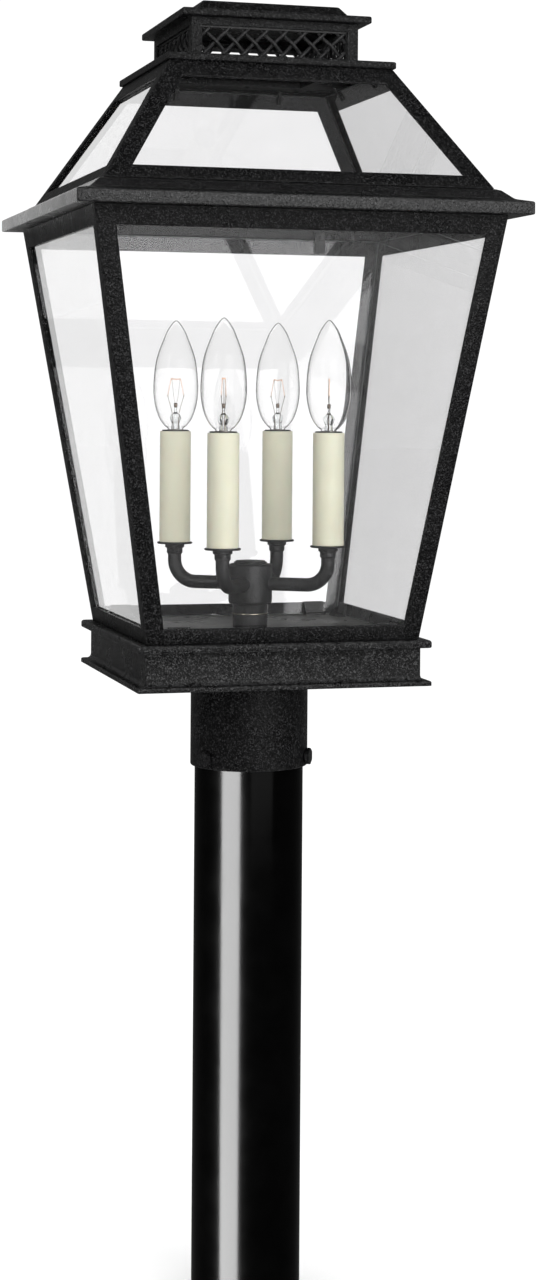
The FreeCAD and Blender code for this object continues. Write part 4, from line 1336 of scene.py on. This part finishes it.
@dataclass
class Vent:
    """Vent turret on the roof: plates, box with woven windows, and a low cap."""

    plate: float = 4.9
    foot: float = 419.2
    lower_half: float = 80.0
    bore: float = 48.0
    box_half: float = 59.0
    box_wall: float = 2.0
    box_top: float = 451.6
    window_half: float = 51.2
    window_foot: float = 425.8
    window_top: float = 446.2
    upper_half: float = 66.5
    cap_foot_half: float = 54.8
    cap_top_half: float = 48.2
    cap_top: float = 464.5
    pitch: float = 13.6
    wire: float = 1.25
    rim: float = 2.4
    ease: float = 0.45

    def build(self, finish: Finishes) -> None:
        """Make the plates, the box, the mesh and the cap."""
        deck, seat = self.foot + self.plate, self.box_top + self.plate
        ring = [
            (self.bore, self.foot, 0.5),
            (self.lower_half, self.foot, 0.9),
            (self.lower_half, deck, 1.2),
            (self.bore, deck, 0.5),
        ]
        fitted("vent_deck", "vent_lower_plate", square_ring(ring, 1.1), finish.cast)
        sides = on_each_face(self.side()).moved(z=LEVEL)
        fitted("vent_turret", "vent_box", sides, finish.cast)
        mesh = on_each_face(self.weave()).moved(z=LEVEL)
        fitted("vent_weave", "vent_mesh", mesh, finish.wire, crease=60.0)
        slab = [
            (0.0, self.box_top, 0.0),
            (self.upper_half, self.box_top, 0.9),
            (self.upper_half, seat, 1.2),
            (0.0, seat, 0.0),
        ]
        brim = square_ring(slab, 1.1, closed=False)
        fitted("vent_brim", "vent_upper_plate", brim, finish.cast)
        dome = [
            (0.0, seat, 0.0),
            (self.cap_foot_half, seat, 0.5),
            (self.cap_top_half, self.cap_top, 1.6),
            (0.0, self.cap_top, 0.0),
        ]
        fitted("vent_lid", "vent_cap", square_ring(dome, 1.2, closed=False), finish.cast)

    def side(self) -> Surface:
        """One wall of the box with its window, mitred to its neighbours.

        It is a section carried round a frame: each loop is a rectangle, and the loops go over
        the outer face, through the window, back over the inner face and out at the mitre.

        Returns:
            The wall at +Y.
        """
        low, high = self.foot + self.plate, self.box_top
        out, back = self.box_half, self.box_half - self.box_wall
        wide, sill, head = self.window_half, self.window_foot, self.window_top
        ease, arc = self.ease, self.ease * 0.29
        loops = [
            (out - 0.35, low, high, out - 0.35, 0.5),
            (out - 0.6, low, high, out, 0.0),
            (wide + ease, sill - ease, head + ease, out, 0.0),
            (wide + arc, sill - arc, head + arc, out - arc, 1.0),
            (wide, sill, head, out - ease, 0.0),
            (wide, sill, head, back, 0.0),
            (back, low, high, back, 0.0),
        ]
        rings = [[(-w, y, b), (w, y, b), (w, y, t), (-w, y, t)] for w, b, t, y, _ in loops]
        bend = np.array([loop[4] for loop in loops])[:, None]
        return skin(np.array(rings), bend, closed=True)

    def weave(self) -> Surface:
        """Woven wires behind the window at +Y.

        With p the pitch, one family of wires runs along u at v = i and the other along v at
        u = j, where x = (u + v) p / 2 and z = (u - v) p / 2. The depth of a wire swings by its
        radius times cos(pi (u + i)), and of the other family by minus that, so each passes
        over and under in turn.

        Returns:
            The wires of one window.
        """
        half_high = (self.window_top - self.window_foot) / 2 + 1.2
        half_wide = self.window_half + 2.0
        middle = (self.window_top + self.window_foot) / 2
        depth = self.box_half - self.box_wall - 2.15 * self.wire
        reach, span = 2 * half_high / self.pitch, 2 * half_wide / self.pitch
        shortest, last = 0.4, 9
        wires = []
        for number in range(-last, last + 1):
            low, high = max(number - reach, -span - number), min(number + reach, span - number)
            if high - low < shortest:
                continue
            run = np.linspace(low, high, max(8, int((high - low) * 10)))
            x = (run + number) * self.pitch / 2
            swing = self.wire * 0.92 * np.cos(math.pi * (run + number))
            for sign in (1.0, -1.0):
                z = sign * (run - number) * self.pitch / 2 + middle
                path = np.stack([x, depth + sign * swing, z], axis=1)
                wires.append(tube(path, self.wire, 10))
        return joined([*wires, self.mesh_rim(half_wide, middle - half_high, middle + half_high)])

    def mesh_rim(self, half: float, low: float, high: float) -> Surface:
        """Flat folded rim that holds the wires together.

        Args:
            half: half of its outside width.
            low: its lowest level.
            high: its highest level.

        Returns:
            The rim of one window, a section carried round a rectangle.
        """
        near = self.box_half - self.box_wall - 0.25
        far = near - 3.8 * self.wire
        loops = [(0.0, near), (self.rim, near), (self.rim, far), (0.0, far)]
        inset, depth = (np.array(loops)[:, i : i + 1] for i in (0, 1))
        x = (half - inset) * [-1.0, 1.0, 1.0, -1.0]
        z = np.array([low, low, high, high]) + inset * [1.0, 1.0, -1.0, -1.0]
        return skin(np.stack([x, np.broadcast_to(depth, x.shape), z], axis=-1), closed=True)


@dataclass
class LampCluster:
    """Hub with four arms, and on each arm a cup, a socket and a candle sleeve."""

    turn: float = -34.0
    reach: float = 57.2
    arm_level: float = 63.8
    arm_radius: float = 4.75
    bend: float = 15.5
    arm_top: float = 86.0
    tube_hole: float = 5.0
    neck: float = 12.2
    hub_radius: float = 15.35
    spacer_foot: float = 33.0
    ring_foot: float = 42.3
    ring_radius: float = 12.5
    hub_foot: float = 43.2
    hub_top: float = 77.6
    cup_foot: float = 83.2
    cup_radius: float = 5.6
    pan_radius: float = 12.5
    pan_top: float = 91.5
    socket_bore: float = 3.2
    socket_radius: float = 9.5
    socket_foot: float = 138.0
    socket_top: float = 171.3
    sleeve_foot: float = 91.7
    sleeve_top: float = 170.3
    sleeve_radius: float = 10.95
    sleeve_wall: float = 1.0

    def on_each_arm(self, part: Surface) -> Surface:
        """Four of one surface whose arm runs along +X, turned onto the four arms."""
        turned = [part.turned(self.turn + 90 * number) for number in range(4)]
        return joined(turned).moved(z=LEVEL)

    def at_each_lamp(self, corners: Section, sides: int) -> Surface:
        """Four of one turned section, standing on the axes of the lamps."""
        return self.on_each_arm(lathe(*rounded(corners), sides=sides).moved(x=self.reach))

    def build(self, finish: Finishes) -> None:
        """Make the hub, the arms and what stands on them."""
        rings = {
            ("hub_casting", "cluster_hub"): (self.hub(), finish.lamp_iron),
            ("hub_lid", "hub_cap"): (self.lid(), finish.lamp_iron),
            ("bright_washer", "neck_ring"): (
                self.washer(self.ring_foot, self.hub_foot, self.ring_radius, 0.1),
                finish.bright,
            ),
            ("neck_collar", "neck_spacer"): (
                self.washer(self.spacer_foot, self.ring_foot, self.neck, 0.2),
                finish.lamp_iron,
            ),
        }
        for names, (surface, material) in rings.items():
            fitted(*names, surface.moved(z=LEVEL), material)
        paint(finish.steel, "cluster_nipple", "nipple_nut")
        fitted("lamp_branches", "lamp_arms", self.on_each_arm(self.arm()), finish.lamp_iron)
        self.holders(finish)

    def hub(self) -> Surface:
        """Hub: a narrow neck, a straight body with eased shoulders, and a well in its top."""
        foot, top, wide, well = self.hub_foot, self.hub_top, self.hub_radius, 9.0
        shoulder, floor = foot + 6.5, foot + 12.5
        corners = [
            (self.tube_hole, foot, 0.2),
            (self.neck, foot, 0.3),
            (self.neck, shoulder, 0.8),
            (wide - 0.75, shoulder, 0.6),
            (wide, shoulder + 1.5, 0.8),
            (wide, top - 1.4, 0.8),
            (wide - 1.05, top, 0.6),
            (well, top, 0.3),
            (well, floor, 0.3),
            (self.tube_hole, floor, 0.2),
        ]
        return lathe(*rounded(corners), sides=72)

    def lid(self) -> Surface:
        """Cap on the hub: a plug in the well under a stepped disc."""
        top, plug, disc = self.hub_top, 8.9, 11.6
        corners = [
            (0.0, top - 3.0, 0.0),
            (plug, top - 3.0, 0.3),
            (plug, top + 0.1, 0.2),
            (disc, top + 0.1, 0.3),
            (disc, top + 1.4, 0.3),
            (disc - 1.0, top + 1.4, 0.2),
            (disc - 1.2, top + 2.2, 0.3),
            (0.0, top + 2.2, 0.0),
        ]
        return lathe(*rounded_to_axis(corners), sides=72, closed=False)

    def washer(self, low: float, high: float, radius: float, soft: float) -> Surface:
        """Plain ring round the threaded tube.

        Args:
            low: its lower level.
            high: its upper level.
            radius: its outer radius.
            soft: radius of its inner edges; its outer edges have 0.4.

        Returns:
            The ring's surface.
        """
        hole = self.tube_hole
        corners = [(hole, low, soft), (radius, low, 0.4), (radius, high, 0.4), (hole, high, soft)]
        return lathe(*rounded(corners), sides=72)

    def arm(self) -> Surface:
        """One bent arm: out along +X, a quarter circle, then up."""
        t = np.linspace(0.0, math.pi / 2, 22)
        middle = self.reach - self.bend
        run = np.linspace(10.0, middle, 12)[:-1]
        x = np.concatenate([run, middle + self.bend * np.sin(t), [self.reach]])
        rise = self.arm_level + self.bend * (1 - np.cos(t))
        z = np.concatenate([np.full(len(run), self.arm_level), rise, [self.arm_top]])
        return tube(np.stack([x, np.zeros(len(x)), z], axis=1), self.arm_radius, 28)

    def holders(self, finish: Finishes) -> None:
        """Drip cups, candle sleeves and sockets."""
        foot, stem, bore, pan = self.cup_foot, self.cup_radius, self.socket_bore, self.pan_radius
        arm_hole, top = self.arm_radius + 0.05, self.pan_top
        cup = [
            (arm_hole, foot, 0.1),
            (stem - 0.4, foot, 0.3),
            (stem, foot + 1.0, 0.3),
            (stem, foot + 4.1, 0.3),
            (stem + 1.2, foot + 4.6, 0.3),
            (stem + 1.2, top - 1.6, 0.2),
            (pan - 0.4, top - 1.2, 0.3),
            (pan, top - 0.7, 0.3),
            (pan, top + 0.1, 0.25),
            (pan - 0.6, top + 0.1, 0.2),
            (pan - 1.0, top - 0.4, 0.3),
            (pan - 1.6, top, 0.2),
            (bore, top, 0.1),
            (bore, self.arm_top, 0.1),
            (arm_hole, self.arm_top, 0.1),
        ]
        fitted("drip_pans", "drip_cups", self.at_each_lamp(cup, 56), finish.lamp_iron)
        outer, foot, rim = self.sleeve_radius, self.sleeve_foot, self.sleeve_top
        inner = outer - self.sleeve_wall
        sleeve = [(inner, foot, 0.2), (outer, foot, 0.35), (outer, rim, 0.5), (inner, rim, 0.3)]
        fitted("candle_tubes", "candle_sleeves", self.at_each_lamp(sleeve, 72), finish.ivory)
        foot, wide, low, rim = top + 0.1, self.socket_radius, self.socket_foot, self.socket_top
        well = [
            (bore, foot, 0.1),
            (6.0, foot, 0.3),
            (6.0, foot + 3.0, 0.3),
            (4.4, foot + 3.0, 0.2),
            (4.4, low, 0.2),
            (wide, low, 0.8),
            (wide, rim, 0.4),
            (6.05, rim, 0.3),
            (6.05, low + 12.0, 0.2),
            (bore, low + 12.0, 0.1),
        ]
        fitted("lamp_wells", "lamp_sockets", self.at_each_lamp(well, 56), finish.phenolic)


@dataclass
class CandleBulb:
    """Flame-shaped bulb: envelope, screw cap, and the mount with its filament inside."""

    number: int
    sleeve_top: float = 170.3
    tip: float = 248.9
    belly: float = 15.9
    neck: float = 5.35
    wall: float = 0.45
    cap_foot: float = 152.0
    cap_radius: float = 5.7
    lead_reach: float = 6.0
    lead_rise: float = 25.0
    button_rise: float = 18.4
    coil: float = 0.34
    turns: int = 75

    def build(self, finish: Finishes) -> None:
        """Make the bulb on its lamp's axis."""
        low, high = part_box(f"bulb_stem_{self.number}")
        middle = (low + high) / 2 / MM
        heading = 20.0 + 55.0 * self.number
        parts = (
            ("envelope", "glass", self.envelope(), (finish.bulb,), 60.0),
            ("cap", "base", self.cap(), (finish.bulb_cap,), 40.0),
            ("mount", "stem", self.mount().turned(heading), (finish.stem,), 40.0),
            ("leads", None, self.wires().turned(heading), (finish.lead, finish.filament), 60.0),
        )
        for name, node, surface, materials, crease in parts:
            standing = surface.moved(middle.x, middle.y, LEVEL)
            piece = mesh_of(f"bulb_{name}_{self.number}", standing, materials, crease)
            if node:
                fit(piece, f"bulb_{node}_{self.number}")
            else:
                add(piece, f"bulb_stem_{self.number}")

    def envelope(self) -> Surface:
        """Thin glass shell: its meridian turned about the axis."""
        return lathe(self.meridian(), sides=72, closed=False)

    def meridian(self) -> np.ndarray:
        """Outline of the envelope.

        Its outside is a smooth curve through shares of the belly's radius and of the length
        above the sleeve; it goes on as its own mirror image past the tip, which rounds the
        tip. The inside lies one wall further in, along the normal (dz, -dr) of the curve.

        Returns:
            Radius and height, from the inner tip down the inside and up the outside.
        """
        foot, length = self.sleeve_top, self.tip - self.sleeve_top
        lower = ((0.50, 0.05), (0.74, 0.12), (0.93, 0.24), (1.0, 0.40))
        upper = ((0.88, 0.64), (0.54, 0.84), (0.33, 0.93))
        points = [(self.neck, foot - 5.0), (self.neck, foot + 1.4)]
        points += [(self.belly * across, foot + length * up) for across, up in lower + upper]
        points += [(0.0, self.tip), (-points[-1][0], points[-1][1])]
        outer = flowing(points)
        outer = outer[outer[:, 0] >= -1e-6]
        along = np.gradient(outer, axis=0)
        normal = along[:, ::-1] * [1.0, -1.0] / np.linalg.norm(along, axis=1, keepdims=True)
        inner = outer - self.wall * normal
        outer[-1], inner[-1] = (0.0, self.tip), (0.0, self.tip - self.wall)
        return np.concatenate([np.maximum(inner, [0.0, 0.0])[::-1], outer])

    def cap(self) -> Surface:
        """Screw cap: a shell whose radius follows a sine of height plus angle, and its contact.

        Returns:
            The cap's surface.
        """
        t, rings = circle(64), 56
        foot, rim, shell = self.cap_foot, self.sleeve_top + 1.2, self.cap_radius
        thread = np.linspace(foot + 2.8, foot + 14.0, rings)
        z = [foot - 1.6, foot - 1.6, foot, foot + 2.6, *thread, rim, rim, foot + 4.0, foot + 4.0]
        contact, inside = [0.0, 2.0, 2.6, shell - 0.1], shell - 0.5
        radius = [*contact, *[shell] * rings, shell, inside, inside, 0.0]
        z, radius = np.array(z)[:, None], np.array(radius)[:, None]
        ridge = np.zeros_like(z)
        ridge[4 : 4 + rings, 0] = 0.22 * np.sin(np.linspace(0.0, math.pi, rings)) ** 0.5
        pitch = 2.0
        radius = radius + ridge * np.sin(z * 2 * math.pi / pitch - t)
        return skin(round_grid(radius, t, z)).uncapped()

    def mount(self) -> Surface:
        """Glass mount: a flared tube, the pressed bead on it, and the rod up to the button."""
        flare = ((0.0, -4.6), (4.2, -4.6), (3.3, -1.0), (2.9, 3.0), (2.6, 5.4))
        bead = ((3.4, 7.4), (3.9, 9.4), (3.2, 11.4), (1.6, 12.8))
        rod = ((1.0, 14.5), (1.0, 16.8), (0.0, 17.2))
        points = [(radius, self.sleeve_top + rise) for radius, rise in flare + bead + rod]
        return lathe(np.maximum(flowing(points, 5), 0.0), sides=28, closed=False)

    def wires(self) -> Surface:
        """Lead wires, support wires, the button on the mount, and the coiled filament.

        The filament is a helix of radius 0.34 whose axis follows a low arch: up from one lead,
        over two supports and down to the other.

        Returns:
            The wires in material 0 and the filament in material 1.
        """
        top, reach, rise = self.sleeve_top, self.lead_reach, self.lead_rise
        drop = np.array([(0.0, -0.5), (0.42, -0.3), (0.5, 0.0), (0.42, 0.3), (0.0, 0.5)])
        parts = []
        for sign in (-1.0, 1.0):
            lead = np.array([(1.0, 0, -4), (1.5, 0, 9), (3.6, 0, 17), (reach, 0, rise)])
            hook = np.array([(0.3, 0, 17.5), (1.8, 0.6, 26), (3.1, 0.2, 37.7)])
            for path, radius, sides in ((lead, 0.2, 8), (hook, 0.12, 6)):
                parts.append(tube(path * [sign, 1.0, 1.0] + [0.0, 0.0, top], radius, sides))
            end = lathe(drop, sides=12, closed=False)
            parts.append(end.moved(x=reach * sign, z=top + rise))
        button = [(0.0, -1.7), (1.0, -1.6), (1.25, -1.1), (1.25, 1.1), (1.0, 1.6), (0.0, 1.7)]
        knob = lathe(np.array(button), sides=20, closed=False)
        parts.append(knob.moved(z=top + self.button_rise))
        return joined([*parts, self.filament()])

    def filament(self) -> Surface:
        """Coiled filament between the ends of the leads, in material 1.

        Its axis is a low arch in the plane of the leads, and the coil is that axis plus its
        radius times (out cos a + across sin a), with out square to the axis.

        Returns:
            The coil's surface.
        """
        top, reach, rise = self.sleeve_top, self.lead_reach, self.lead_rise
        s = np.linspace(0.0, 1.0, 900)
        keys = [0.0, 0.28, 0.36, 0.64, 0.72, 1.0]
        x = np.interp(s, keys, [-reach, -3.7, -2.9, 2.9, 3.7, reach])
        level = np.interp(s, keys, [rise, 36.6, 37.6, 37.6, 36.6, rise])
        arch = top + level - 0.8 * np.sin(math.pi * s) ** 8
        centre = np.stack([x, np.zeros_like(x), arch], axis=1)
        along = np.gradient(centre, axis=0)
        along /= np.linalg.norm(along, axis=1, keepdims=True)
        across = np.array([0.0, 1.0, 0.0])
        out = np.cross(along, across)
        angle = (2 * math.pi * self.turns * s)[:, None]
        path = centre + self.coil * (np.cos(angle) * out + np.sin(angle) * across)
        return tube(path, 0.09, 5, (1.3, 0.2, 0.1)).coated(1)


# ---------------------------------------------------------------------------------------------
# Studio
# ---------------------------------------------------------------------------------------------


@dataclass
class Studio:
    """Plain pale floor, soft light and the camera."""

    floor_reach: float = 30.0
    eye: tuple[float, float, float] = (-0.43295, -1.6664, 0.63364)
    heading: float = -16.37
    roll: float = 0.4
    lens: float = 68.69
    shift: tuple[float, float] = (-0.0467, -0.1882)
    aim: tuple[float, float, float] = (0.0, 0.0, 0.68)

    def build(self) -> None:
        """Lay the floor, hang the lights and set the camera."""
        self.lay_floor()
        self.light_world()
        self.hang_light("key", (0.75, -3.0, 1.25), (2.8, 2.4), 62.0)
        self.hang_light("fill", (-2.4, -1.7, 1.9), (1.2, 1.2), 16.0)
        rear = self.hang_light("rear", (-0.9, 3.0, 0.9), (2.4, 3.4), 28.0)
        rear.visible_transmission = False
        names = ("body_pane", "roof_pane", "eave")
        shown = [piece for piece in bpy.data.objects if piece.name.startswith(names)]
        shown.append(frame["nodes"]["floor_plate"])
        rear.light_linking.receiver_collection = self.group("rear_lights", shown)
        self.hang_strip()
        self.set_camera()

    def lay_floor(self) -> None:
        """A round floor whose tone drifts a little."""
        material, tree, shader = open_material("pale_floor")
        drift = tree.noise(tree.node("TexCoord").outputs["Object"], 3.0, 3.0)
        tone = tree.blend(drift, grey(0.975), grey(0.99))
        tree.feed(shader, {"Base Color": tone, "Roughness": 0.9, "Specular IOR Level": 0.0})
        radius = np.array([0.0, 0.5, 2.0, 8.0, self.floor_reach])[:, None] / MM
        disc = skin(round_grid(radius, circle(96), 0.0)).uncapped()
        floor = mesh_of("studio_floor", disc, [material])
        if floor.data.polygons[0].normal.z < 0:
            floor.data.flip_normals()
        floor.visible_glossy = False

    def light_world(self) -> None:
        """Even white surroundings that show only faintly in reflections, as far walls do."""
        world = bpy.data.worlds.new("studio")
        world.use_nodes = True
        tree = Tree(world.node_tree)
        mirrored = tree.node("LightPath").outputs["Glossy Depth"]
        strength = tree.spread(mirrored, 0.0, 1.0, 1.07, 0.1)
        background = world.node_tree.nodes["Background"]
        tree.feed(background, {"Color": grey(1.0), "Strength": strength})
        bpy.context.scene.world = world

    def hang_light(
        self,
        name: str,
        place: tuple[float, float, float],
        size: tuple[float, float],
        power: float,
    ) -> bpy.types.Object:
        """Soft rectangular light aimed at the lantern.

        Args:
            name: its name.
            place: where it hangs, in metres.
            size: its width and height in metres.
            power: its power in watts.

        Returns:
            The light's object.
        """
        data = bpy.data.lights.new(name, "AREA")
        data.shape = "RECTANGLE"
        data.size, data.size_y = size
        data.energy = power
        lamp = bpy.data.objects.new(name, data)
        lamp.visible_camera = False
        aim = (Vector(self.aim) - Vector(place)).to_track_quat("-Z", "Y").to_matrix().to_4x4()
        lamp.matrix_world = Matrix.Translation(place) @ aim
        bpy.context.scene.collection.objects.link(lamp)
        return lamp

    def hang_strip(self) -> None:
        """Tall strip whose long reflection runs down the post, and lights the post alone."""
        strip = self.hang_light("strip", (-1.254, -0.994, -0.2), (1.16, 3.2), 1900.0)
        strip.rotation_euler[0] = math.radians(90)
        strip.visible_diffuse = False
        only = self.group("strip_lights", [bpy.data.objects["post_tube"]])
        strip.light_linking.receiver_collection = only
        strip.light_linking.blocker_collection = only

    def group(self, name: str, pieces: Sequence[bpy.types.Object]) -> bpy.types.Collection:
        """Collection of the pieces that one light reaches.

        Args:
            name: its name.
            pieces: the pieces in it.

        Returns:
            The collection, which is in no scene.
        """
        made = bpy.data.collections.new(name)
        for piece in pieces:
            made.objects.link(piece)
        return made

    def set_camera(self) -> None:
        """Level camera in front and to the left, with a slight roll."""
        data = bpy.data.cameras.new("camera")
        data.lens, data.sensor_width = self.lens, 36.0
        data.shift_x, data.shift_y = self.shift
        data.clip_end = 100.0
        camera = bpy.data.objects.new("camera", data)
        turn = Matrix.Rotation(math.radians(self.heading), 4, "Z")
        upright = Matrix.Rotation(math.radians(90), 4, "X")
        tilt = Matrix.Rotation(math.radians(self.roll), 4, "Z")
        camera.matrix_world = Matrix.Translation(self.eye) @ turn @ upright @ tilt
        bpy.context.scene.collection.objects.link(camera)
        bpy.context.scene.camera = camera


def main() -> None:
    """Build every sub-assembly and the studio."""
    logging.basicConfig(level=logging.INFO, format="%(name)s: %(message)s")
    finish = Finishes()
    assemblies = [Post(), Base(), GlazedBody(), Eave(), Roof(), Vent(), LampCluster()]
    assemblies += [CandleBulb(number) for number in range(1, 5)]
    for assembly in assemblies:
        log.info("building %s", type(assembly).__name__)
        assembly.build(finish)
    Studio().build()
    bpy.context.scene.view_settings.view_transform = "Standard"


if __name__ == "__main__":
    main()
